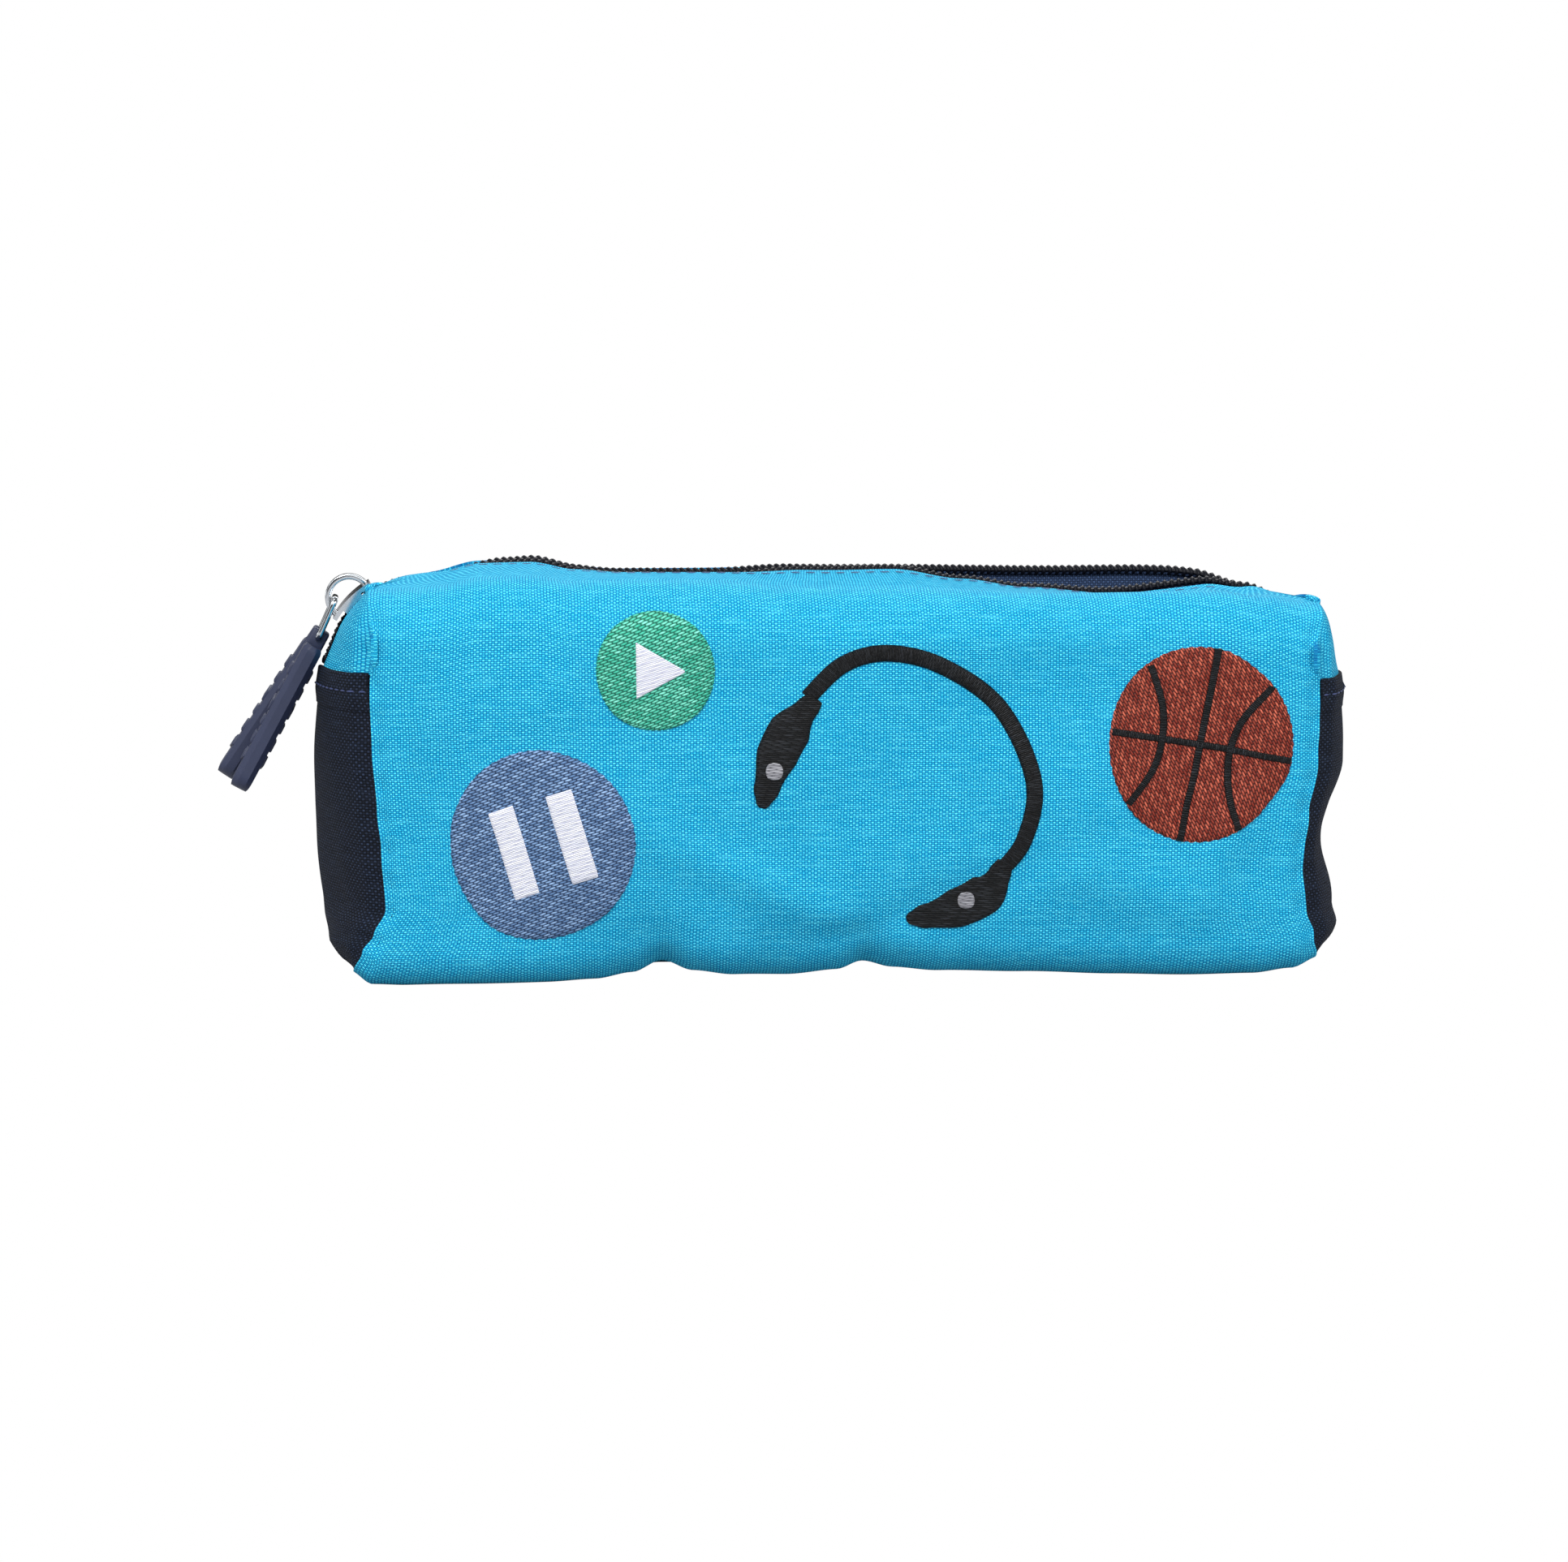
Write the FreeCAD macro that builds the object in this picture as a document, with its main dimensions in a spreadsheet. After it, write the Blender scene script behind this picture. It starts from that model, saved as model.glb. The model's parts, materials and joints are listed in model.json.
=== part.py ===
import FreeCAD, Part
import os
import Sketcher

Vector = FreeCAD.Vector
Rotation = FreeCAD.Rotation
Placement = FreeCAD.Placement

# A soft boxy pencil case with an open zip.
# Origin: centre of the base's rest face. +X along the case, +Y to its back, +Z up.
# Lengths are millimetres, angles degrees.
DIMENSIONS = {
    # the sewn body
    "body_length": 202.0,        # between the corner seams
    "body_depth": 64.0,
    "body_height": 86.0,         # at the zip
    "end_bulge": 10.5,           # how far an end panel stands out of its seams
    "base_roll": 5.0,            # radius of the soft lower edges
    "shoulder_roll": 12.0,       # radius where a wall turns into the top
    "shoulder_height": 72.0,
    "zip_half_flat": 6.0,        # half width of the flat along the zip
    "slope_angle": 23.0,         # the ends above the hem, from upright
    "slope_foot_height": 67.0,
    "slope_foot_reach": 110.0,
    "corner_radius": 20.0,       # the zip's turn from the end on to the top
    # cloth layers, each a depth below the outer face
    "canvas_thick": 0.8,
    "tape_top": 0.9,
    "tape_bottom": 1.3,
    "lining_top": 1.5,
    "lining_bottom": 1.8,
    "hem_proud": 0.6,
    "hem_height": 8.0,
    "seam_gap": 0.05,
    "base_seam_inset": 8.0,
    "base_panel_top": 2.5,       # the base pieces are cut out of the layers below this
    # the zip
    "mouth_centre": 14.0,
    "mouth_half_length": 74.0,
    "mouth_half_width": 7.0,
    "coil_inner": 1.9,
    "coil_outer": 3.5,
    "coil_top": 0.1,
    "coil_bottom": 2.1,
    "tape_inner": 3.6,
    "tape_outer": 14.0,
    "panel_inner": 6.0,
    "lining_inner": 9.5,
    "stop_length": 1.4,
    # the slider, curved like the turn it sits on
    "slider_length": 11.0,
    "slider_width": 10.8,
    "slider_tilt": 45.0,
    "plate_thick": 0.9,
    "channel_above": 0.7,        # from the coil to a plate
    "post_width": 1.8,
    "post_length": 2.4,
    "flange_width": 0.6,
    "flange_length": 5.6,
    "slot_half": 0.7,
    "crown_radius": 5.2,
    "crown_strip": 1.2,
    "crown_width": 2.4,
    # the pulls
    "wire_radius": 0.7,
    "ring_lift": 1.8,            # crown bar above the slider's plate
    "ring_offset": 2.3,          # crown bar ahead of the slider's middle
    "ring_length": 9.0,
    "ring_width": 8.4,
    "ring_angle": 24.0,          # from hanging straight down
    "eyelet_radius": 1.9,
    "eyelet_width": 2.8,
    "eyelet_clearance": 0.08,
    "grip_length": 33.0,
    "grip_width": 8.2,
    "grip_thick": 4.2,
    "grip_drop": 1.7,            # from the ring's bar to the grip's shoulder
    "grip_gap": 0.3,
    "grip_bevel": 1.2,
    "front_grip_angle": 29.8,
    "rear_grip_angle": 35.4,
    "rib_proud": 0.7,
    "rib_length": 2.9,
    "rib_pitch": 4.2,
    "rib_start": 5.0,            # from the grip's shoulder to the first rib
    "rib_inset": 1.8,            # from the grip's long edges
    # embroidery
    "thread_thick": 0.5,
    "motif_thick": 0.4,
    "pause_radius": 20.0,
    "pause_across": -63.1,
    "pause_up": 30.2,
    "bar_width": 6.2,
    "bar_length": 19.5,
    "bar_spacing": 11.6,
    "bar_tilt": 17.0,
    "play_radius": 12.7,
    "play_across": -39.4,
    "play_up": 66.4,
    "triangle_radius": 6.9,
    "band_width": 3.5,
    "dot_radius": 1.8,
    "ball_radius": 20.0,
    "ball_across": 76.1,
    "ball_up": 50.4,
    "ball_line": 1.7,
    "ball_tilt": 9.0,
    "seam_centre": 31.0,         # a curved ball line's centre, from the ball's middle
    "seam_radius": 22.6,
    # topstitching
    "stitch_pitch": 3.0,
    "stitch_length": 2.0,
    "stitch_width": 0.4,
    "stitch_proud": 0.15,
    "zip_stitch_inset": 2.2,
    "hem_stitch_drop": 4.0,
}
RIB_COUNT = 6
REACH = 300.0                    # longer than anything on the case

doc = FreeCAD.newDocument("PencilCase")
sheet = doc.addObject("Spreadsheet::Sheet", "Spec")
for row, (alias, size) in enumerate(DIMENSIONS.items(), start=1):
    sheet.set("A%d" % row, alias)
    sheet.set("B%d" % row, str(size))
    sheet.setAlias("B%d" % row, alias)
doc.recompute()


def spec(alias):
    return "Spec." + alias


def size(alias):
    return float(sheet.get(alias))


# helpers
def bind(item, **expressions):
    for path, expression in expressions.items():
        item.setExpression(path.replace("__", "."), str(expression))
    return item


def box(name, low, high):
    """A box from its two corners, each three expressions."""
    item = doc.addObject("Part::Box", name)
    for side, axis, start, end in zip(("Length", "Width", "Height"), "xyz", low, high):
        item.setExpression(side, "(%s) - (%s)" % (end, start))
        item.setExpression("Placement.Base." + axis, str(start))
    return item


def drum(name, radius, length, centre, angle=360):
    """A cylinder lying along Y, its middle at the centre."""
    item = doc.addObject("Part::Cylinder", name)
    item.Placement = Placement(Vector(), Rotation(Vector(1, 0, 0), -90))
    bind(item, Radius=radius, Height=length, Angle=angle, Placement__Base__x=centre[0],
         Placement__Base__y="(%s) - (%s) / 2" % (centre[1], length), Placement__Base__z=centre[2])
    return item


def post(name, radius, centre):
    """A tall cylinder along Z."""
    item = doc.addObject("Part::Cylinder", name)
    return bind(item, Radius=radius, Height=REACH, Placement__Base__x=centre[0], Placement__Base__y=centre[1])


def joined(kind, name, items):
    item = doc.addObject(kind, name)
    item.Shapes = items
    return item


def fuse(name, *items):
    return joined("Part::MultiFuse", name, list(items))


def common(name, *items):
    return joined("Part::MultiCommon", name, list(items))


def cut(name, base, *tools):
    for count, tool in enumerate(tools, start=1):
        item = doc.addObject("Part::Cut", name if count == len(tools) else "%s_%d" % (name, count))
        item.Base, item.Tool = base, tool
        base = item
    return base


def outline(name, rotation, points, bends):
    """A closed sketch. points are pairs of expressions; bends gives the centre of each
    rounded edge by the number of its first point."""
    sketch = doc.addObject("Sketcher::SketchObject", name)
    sketch.Placement = Placement(Vector(), rotation)
    places = [Vector(*(float(sheet.evalExpression(str(value))) for value in pair), 0) for pair in points]
    for number, start in enumerate(places):
        end = places[(number + 1) % len(places)]
        if number not in bends:
            sketch.addGeometry(Part.LineSegment(start, end))
            continue
        centre = Vector(*(float(sheet.evalExpression(str(value))) for value in bends[number]), 0)
        middle = (start + end) * 0.5 - centre
        middle.normalize()
        sketch.addGeometry(Part.Arc(start, centre + middle * (start - centre).Length, end))
    for number, pair in enumerate(points):
        before = (number - 1) % len(places)
        first, last = (1 if sketch.getPoint(edge, 1).distanceToPoint(places[number]) < 1e-4 else 2
                       for edge in (number, before))
        sketch.addConstraint(Sketcher.Constraint("Coincident", before, last, number, first))
        for kind, value in zip(("DistanceX", "DistanceY"), pair):
            where = places[number].x if kind == "DistanceX" else places[number].y
            index = sketch.addConstraint(Sketcher.Constraint(kind, -1, 1, number, first, where))
            sketch.setExpression("Constraints[%d]" % index, str(value))
        if number in bends:
            index = sketch.addConstraint(Sketcher.Constraint("Radius", number, sketch.Geometry[number].Radius))
            sketch.setExpression("Constraints[%d]" % index, bend_radius(pair, bends[number]))
    return sketch


def bend_radius(point, centre):
    return "sqrt((%s - (%s)) ^ 2 + (%s - (%s)) ^ 2)" % (point[0], centre[0], point[1], centre[1])


def prism(name, sketch, direction):
    """The sketch pushed both ways along the direction."""
    item = doc.addObject("Part::Extrusion", name)
    item.Base, item.Dir, item.DirMode = sketch, direction, "Custom"
    item.LengthFwd, item.LengthRev, item.Solid = REACH / 2, REACH / 2, True
    return item


# the soft outer shape
SLOPE_COS = "cos(Spec.slope_angle * 1 deg)"
SLOPE_SIN = "sin(Spec.slope_angle * 1 deg)"
HALF_LENGTH = "(Spec.body_length / 2)"
HALF_DEPTH = "(Spec.body_depth / 2)"
END_REACH = "(Spec.body_length / 2 + Spec.end_bulge)"
CORNER_HEIGHT = "(Spec.body_height - Spec.corner_radius)"
# the turn is tangent to the top and to the sloping end
CORNER_REACH = ("(Spec.slope_foot_reach - (Spec.corner_radius - (Spec.slope_foot_height - %s) * %s) / %s)"
                % (CORNER_HEIGHT, SLOPE_SIN, SLOPE_COS))
END_RADIUS = "((%s ^ 2 + Spec.end_bulge ^ 2) / (2 * Spec.end_bulge))" % HALF_DEPTH
END_CENTRE = "(%s - %s)" % (END_REACH, END_RADIUS)


def mirrored(points, bends):
    """Points and bends of a left half, carried on over the right half in order."""
    count = len(points)
    flip = lambda pair: ("-(%s)" % pair[0], pair[1])
    bends = dict(bends)
    bends.update({2 * count - 2 - number: flip(centre) for number, centre in list(bends.items())})
    return points + [flip(pair) for pair in reversed(points)], bends


def side_outline(name, inset):
    """Length by height: the ends with their slope and the zip's turn."""
    wall = "-(%s - (%s))" % (END_REACH, inset)
    foot_rise = "((Spec.slope_foot_reach - (%s) * %s - (%s - (%s))) * %s / %s)" % (
        inset, SLOPE_COS, END_REACH, inset, SLOPE_COS, SLOPE_SIN)
    turn = ("-%s" % CORNER_REACH, CORNER_HEIGHT)
    points, bends = mirrored([
        ("-(%s - Spec.base_roll)" % END_REACH, inset),
        (wall, "Spec.base_roll"),
        (wall, "Spec.slope_foot_height - (%s) * %s + %s" % (inset, SLOPE_SIN, foot_rise)),
        ("-%s - (Spec.corner_radius - (%s)) * %s" % (CORNER_REACH, inset, SLOPE_COS),
         "%s + (Spec.corner_radius - (%s)) * %s" % (CORNER_HEIGHT, inset, SLOPE_SIN)),
        ("-%s" % CORNER_REACH, "Spec.body_height - (%s)" % inset),
    ], {0: ("-(%s - Spec.base_roll)" % END_REACH, "Spec.base_roll"), 3: turn})
    return outline(name, Rotation(Vector(1, 0, 0), 90), points, bends)


def cross_outline(name, inset):
    """Depth by height: rolled lower edges, shoulders and a gently pitched top."""
    points, bends = mirrored([
        ("-(%s - Spec.base_roll)" % HALF_DEPTH, inset),
        ("-(%s - (%s))" % (HALF_DEPTH, inset), "Spec.base_roll"),
        ("-(%s - (%s))" % (HALF_DEPTH, inset), "Spec.shoulder_height"),
        ("-(%s - Spec.shoulder_roll)" % HALF_DEPTH, "Spec.shoulder_height + Spec.shoulder_roll - (%s)" % inset),
        ("-Spec.zip_half_flat", "Spec.body_height - (%s)" % inset),
    ], {0: ("-(%s - Spec.base_roll)" % HALF_DEPTH, "Spec.base_roll"),
        2: ("-(%s - Spec.shoulder_roll)" % HALF_DEPTH, "Spec.shoulder_height")})
    return outline(name, Rotation(Vector(0.5773503, 0.5773503, 0.5773503), 120), points, bends)


def plan_outline(name, inset):
    """Length by depth: two straight walls and two bulging ends."""
    half = "(%s - (%s))" % (HALF_DEPTH, inset)
    reach = "(%s + sqrt((%s - (%s)) ^ 2 - %s ^ 2))" % (END_CENTRE, END_RADIUS, inset, half)
    points = [("-" + reach, half), ("-" + reach, "-" + half), (reach, "-" + half), (reach, half)]
    return outline(name, Rotation(), points, {0: ("-" + END_CENTRE, "0"), 2: (END_CENTRE, "0")})


def blank(name, inset):
    """The solid case, its outer face moved in by the inset."""
    return common("blank_" + name,
                  prism("side_" + name, side_outline("side_outline_" + name, inset), Vector(0, 1, 0)),
                  prism("cross_" + name, cross_outline("cross_outline_" + name, inset), Vector(1, 0, 0)),
                  prism("plan_" + name, plan_outline("plan_outline_" + name, inset), Vector(0, 0, 1)))


def layer(name, outer, inner):
    return cut("layer_" + name, outer, inner)


outer_face = blank("outer", "0")
canvas = layer("canvas", outer_face, blank("canvas_inner", spec("canvas_thick")))
tape = layer("tape", blank("tape_outer", spec("tape_top")), blank("tape_inner", spec("tape_bottom")))
lining = layer("lining", blank("lining_outer", spec("lining_top")), blank("lining_inner", spec("lining_bottom")))
coil = layer("coil", blank("coil_outer", spec("coil_top")), blank("coil_inner", spec("coil_bottom")))
hem_face = blank("hem", "-Spec.hem_proud")
hem = layer("hem", hem_face, outer_face)
hem_thread = layer("hem_thread", blank("hem_thread", "-Spec.hem_proud - Spec.stitch_proud"), hem_face)
top_thread = layer("top_thread", blank("top_thread", "-Spec.stitch_proud"), outer_face)

# cutting tools
LENS_RADIUS = "((Spec.mouth_half_length ^ 2 + Spec.mouth_half_width ^ 2) / (2 * Spec.mouth_half_width))"


def zip_gap(name, half):
    """Everything nearer the zip's middle than half, swelling into the open mouth."""
    offset = "(%s - Spec.mouth_half_width - (%s))" % (LENS_RADIUS, half)
    arcs = [post("%s_arc_%s" % (name, side), LENS_RADIUS, (spec("mouth_centre"), sign + offset))
            for side, sign in (("front", "-"), ("back", ""))]
    strip = box(name + "_strip", (-REACH, "-(%s)" % half, 0), (REACH, half, REACH))
    return fuse(name, common(name + "_lens", *arcs), strip)


panel_gap = zip_gap("panel_gap", spec("panel_inner"))
tape_gap = zip_gap("tape_gap", spec("tape_inner"))
tape_reach = zip_gap("tape_reach", spec("tape_outer"))
coil_gap = zip_gap("coil_gap", spec("coil_inner"))
coil_reach = zip_gap("coil_reach", spec("coil_outer"))
lining_gap = zip_gap("lining_gap", spec("lining_inner"))
stitch_gap = zip_gap("stitch_gap", "Spec.panel_inner + Spec.zip_stitch_inset")
stitch_reach = zip_gap("stitch_reach", "Spec.panel_inner + Spec.zip_stitch_inset + Spec.stitch_width")

HEM_TOP = spec("slope_foot_height")
SEAM = "(%s + Spec.seam_gap)" % HALF_LENGTH
BASE_SEAM = "(%s - Spec.base_seam_inset)" % HALF_DEPTH
BASE_TOP = spec("base_panel_top")
above_hem = box("above_hem", (-REACH, -REACH, HEM_TOP), (REACH, REACH, REACH))
halves = {"front": box("front_half", (-REACH, -REACH, -1), (REACH, 0, REACH)),
          "back": box("back_half", (-REACH, 0, -1), (REACH, REACH, REACH))}
ends = {"left": box("left_end", (-REACH, -REACH, -1), ("-%s" % SEAM, REACH, HEM_TOP + " - Spec.seam_gap")),
        "right": box("right_end", (SEAM, -REACH, -1), (REACH, REACH, HEM_TOP + " - Spec.seam_gap"))}
end_rooms = {"left": box("left_room", (-REACH, -REACH, -1), ("-" + HALF_LENGTH, REACH, HEM_TOP)),
             "right": box("right_room", (HALF_LENGTH, -REACH, -1), (REACH, REACH, HEM_TOP))}
base_room = box("base_room", ("-" + HALF_LENGTH, "-" + BASE_SEAM, -1), (HALF_LENGTH, BASE_SEAM, BASE_TOP))
base_cut = box("base_cut", ("-%s + Spec.seam_gap" % HALF_LENGTH, "-%s + Spec.seam_gap" % BASE_SEAM, -1),
               (HALF_LENGTH + " - Spec.seam_gap", BASE_SEAM + " - Spec.seam_gap", BASE_TOP))

# canvas, lining and zip
nodes = {}


def node(item, name):
    item.Label = name
    nodes[name] = item
    return item


for side, half in halves.items():
    wall = common(side + "_wall", canvas, half)
    node(cut(side + "_panel_cut", wall, end_rooms["left"], end_rooms["right"], base_room, panel_gap),
         side + "_panel")
    cloth = common(side + "_cloth", lining, half)
    node(cut(side + "_lining_cut", cloth, end_rooms["left"], end_rooms["right"], base_room, lining_gap),
         "lining_" + side)
    strip = common(side + "_tape_strip", tape, half, above_hem, tape_reach)
    node(cut(side + "_tape_cut", strip, tape_gap), "zip_tape_" + side)
    coil_room = box(side + "_coil_room", (-REACH, -REACH, HEM_TOP + " + 2 * Spec.stop_length"), (REACH, REACH, REACH))
    row = common(side + "_coil_row", coil, half, coil_room, coil_reach)
    node(cut(side + "_coil_cut", row, coil_gap), "zip_coil_" + side)

for side, end in ends.items():
    band = box(side + "_hem_room", (-REACH, -REACH, HEM_TOP + " - Spec.hem_height"), (REACH, REACH, REACH))
    node(fuse(side + "_end_fuse", common(side + "_end_wall", canvas, end),
              common(side + "_hem_band", hem, end, band)), side + "_end_panel")
    node(common(side + "_lining_cut", lining, end), "lining_" + side)
    stop_room = box(side + "_stop_room",
                    ("-%d" % REACH if side == "left" else "0", "-Spec.coil_outer", HEM_TOP + " + Spec.seam_gap"),
                    ("0" if side == "left" else REACH, "Spec.coil_outer", HEM_TOP + " + Spec.stop_length"))
    node(common(side + "_stop_cut", coil, stop_room), "zip_stop_" + side)

node(common("base_panel_cut", canvas, base_cut), "base_panel")
node(common("lining_base_cut", lining, base_cut), "lining_base")


# topstitching
def dashes(name, axis, half_run, low, high):
    """A comb of slots along an axis; each one keeps a single stitch."""
    count = int(half_run // size("stitch_pitch"))
    teeth = []
    for number in range(-count, count + 1):
        start = "%d * Spec.stitch_pitch - Spec.stitch_length / 2" % number
        end = "%d * Spec.stitch_pitch + Spec.stitch_length / 2" % number
        corners = [list(low), list(high)]
        corners[0][axis], corners[1][axis] = start, end
        teeth.append(box("%s_%d" % (name, number + count), *corners))
    return compound(name, teeth)


def compound(name, items):
    item = doc.addObject("Part::Compound", name)
    item.Links = items
    return item


zip_comb = dashes("zip_comb", 0, size("body_length") / 2 - size("corner_radius"), (0, -REACH, HEM_TOP), (0, REACH, REACH))
hem_comb = dashes("hem_comb", 1, size("body_depth") / 2 - size("stitch_pitch"),
                  (-REACH, 0, HEM_TOP + " - Spec.hem_stitch_drop"),
                  (REACH, 0, HEM_TOP + " - Spec.hem_stitch_drop + Spec.stitch_width"))
for side, half in halves.items():
    row = cut(side + "_stitch_row", common(side + "_stitch_strip", top_thread, half, above_hem, stitch_reach), stitch_gap)
    node(common(side + "_stitch_cut", row, zip_comb), "zip_stitch_" + side)
for side, end in ends.items():
    node(common(side + "_hem_stitch_cut", common(side + "_hem_thread", hem_thread, end), hem_comb),
         "hem_stitch_" + side)

# the slider
# Its plates are slices of tubes about the turn's axis, so it runs round the turn freely.
TURN = ("-" + CORNER_REACH, "0", CORNER_HEIGHT)
COIL_OUT = "(Spec.corner_radius - Spec.coil_top)"
COIL_IN = "(Spec.corner_radius - Spec.coil_bottom)"
PLATE_TOP = "(%s + Spec.channel_above + Spec.plate_thick)" % COIL_OUT
PLATE_BOTTOM = "(%s - Spec.channel_above - Spec.plate_thick)" % COIL_IN
TAPE_MIDDLE = "(Spec.corner_radius - (Spec.tape_top + Spec.tape_bottom) / 2)"


def tube_slice(name, inner, outer, length, y_low, y_high):
    """Part of a tube about the turn's axis, centred on the slider's place."""
    width = "((%s) - (%s))" % (y_high, y_low)
    middle = "((%s) + (%s)) / 2" % (y_high, y_low)
    angle = "(%s) / %s * 180 / pi" % (length, PLATE_TOP)
    pieces = []
    for part, radius in (("outer", outer), ("inner", inner)):
        wedge = doc.addObject("Part::Cylinder", "%s_%s" % (name, part))
        wedge.Placement = Placement(Vector(), Rotation(Vector(1, 0, 0), -90))
        bind(wedge, Radius=radius, Height=width if part == "outer" else width + " + 2",
             Angle=angle if part == "outer" else 360, Placement__Base__x=0,
             Placement__Base__y="%s - %s / 2%s" % (middle, width, "" if part == "outer" else " - 1"),
             Placement__Base__z=0)
        pieces.append(wedge)
    item = cut(name, *pieces)
    # a wedge starts along +X and opens downwards, so it is turned back to the slider's tilt
    turn = 180 + size("slider_tilt") - float(sheet.evalExpression(angle)) / 2
    item.Placement = Placement(Vector(), Rotation(Vector(0, 1, 0), turn))
    bind(item, Placement__Base__x=TURN[0], Placement__Base__z=TURN[2])
    return item


half_width = "(Spec.slider_width / 2)"
upper = tube_slice("upper_plate", "%s - Spec.plate_thick" % PLATE_TOP, PLATE_TOP, spec("slider_length"),
                   "-" + half_width, half_width)
lower = tube_slice("lower_plate", PLATE_BOTTOM, "%s + Spec.plate_thick" % PLATE_BOTTOM, spec("slider_length"),
                   "-" + half_width, half_width)
bridge = tube_slice("bridge", PLATE_BOTTOM, PLATE_TOP, spec("post_length"), "-Spec.post_width / 2", "Spec.post_width / 2")
# the post stands at the open end of the zip
nose_turn = (size("slider_length") - size("post_length")) / 2 / float(sheet.evalExpression(PLATE_TOP))
bridge.Placement.Rotation = Rotation(Vector(0, 1, 0), nose_turn * 180 / 3.14159265).multiply(bridge.Placement.Rotation)
flanges = []
for side, low, high in (("front", "-" + half_width, "-%s + Spec.flange_width" % half_width),
                        ("back", "%s - Spec.flange_width" % half_width, half_width)):
    flanges.append(tube_slice(side + "_upper_flange", "%s + Spec.slot_half" % TAPE_MIDDLE,
                              "%s - Spec.plate_thick" % PLATE_TOP, spec("flange_length"), low, high))
    flanges.append(tube_slice(side + "_lower_flange", "%s + Spec.plate_thick" % PLATE_BOTTOM,
                              "%s - Spec.slot_half" % TAPE_MIDDLE, spec("flange_length"), low, high))
node(fuse("slider_fuse", upper, lower, bridge, *flanges), "slider_body")

TILT_COS = "cos(Spec.slider_tilt * 1 deg)"
TILT_SIN = "sin(Spec.slider_tilt * 1 deg)"


def on_slider(lift, ahead):
    """A place above the slider's plate, and ahead of its middle towards the end."""
    radius = "(%s + (%s))" % (PLATE_TOP, lift)
    return ("%s - %s * %s - (%s) * %s" % (TURN[0], radius, TILT_SIN, ahead, TILT_COS), "0",
            "%s + %s * %s - (%s) * %s" % (TURN[2], radius, TILT_COS, ahead, TILT_SIN))


crown_centre = on_slider("-0.2", "0")
crown_ring = cut("crown_ring", drum("crown_outer", spec("crown_radius"), spec("crown_width"), crown_centre),
                 drum("crown_inner", "Spec.crown_radius - Spec.crown_strip", "Spec.crown_width + 1", crown_centre))
node(cut("crown_cut", crown_ring, drum("crown_foot", PLATE_TOP, "Spec.crown_width + 2", TURN)), "slider_crown")

# ring and grips
# Each is made hanging straight down from its own bar at the origin, then placed.
ring_bar = on_slider(spec("ring_lift"), spec("ring_offset"))
RING_SWING = "Spec.ring_angle * 1 deg"
grip_bar = ("%s - Spec.ring_length * sin(%s)" % (ring_bar[0], RING_SWING), "0",
            "%s - Spec.ring_length * cos(%s)" % (ring_bar[2], RING_SWING))


def rod(name, length, centre):
    """An upright round bar hanging below its centre."""
    item = doc.addObject("Part::Cylinder", name)
    return bind(item, Radius=spec("wire_radius"), Height=length, Placement__Base__x=centre[0],
                Placement__Base__y=centre[1], Placement__Base__z="(%s) - (%s)" % (centre[2], length))


def bead(name, centre):
    item = doc.addObject("Part::Sphere", name)
    return bind(item, Radius=spec("wire_radius"), Placement__Base__y=centre[1], Placement__Base__z=centre[2])


half_ring = "(Spec.ring_width / 2)"
wires = [drum("ring_top_bar", spec("wire_radius"), spec("ring_width"), ("0", "0", "0")),
         drum("ring_low_bar", spec("wire_radius"), spec("ring_width"), ("0", "0", "-Spec.ring_length"))]
for side, sign in (("front", "-"), ("back", "")):
    wires.append(rod(side + "_leg", spec("ring_length"), ("0", sign + half_ring, "0")))
    wires += [bead(side + "_top_bead", ("0", sign + half_ring, "0")),
              bead(side + "_low_bead", ("0", sign + half_ring, "-Spec.ring_length"))]
ring = node(fuse("ring_fuse", *wires), "pull_ring")
ring.Placement = Placement(Vector(), Rotation(Vector(0, 1, 0), size("ring_angle")))
bind(ring, Placement__Base__x=ring_bar[0], Placement__Base__z=ring_bar[2])


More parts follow.
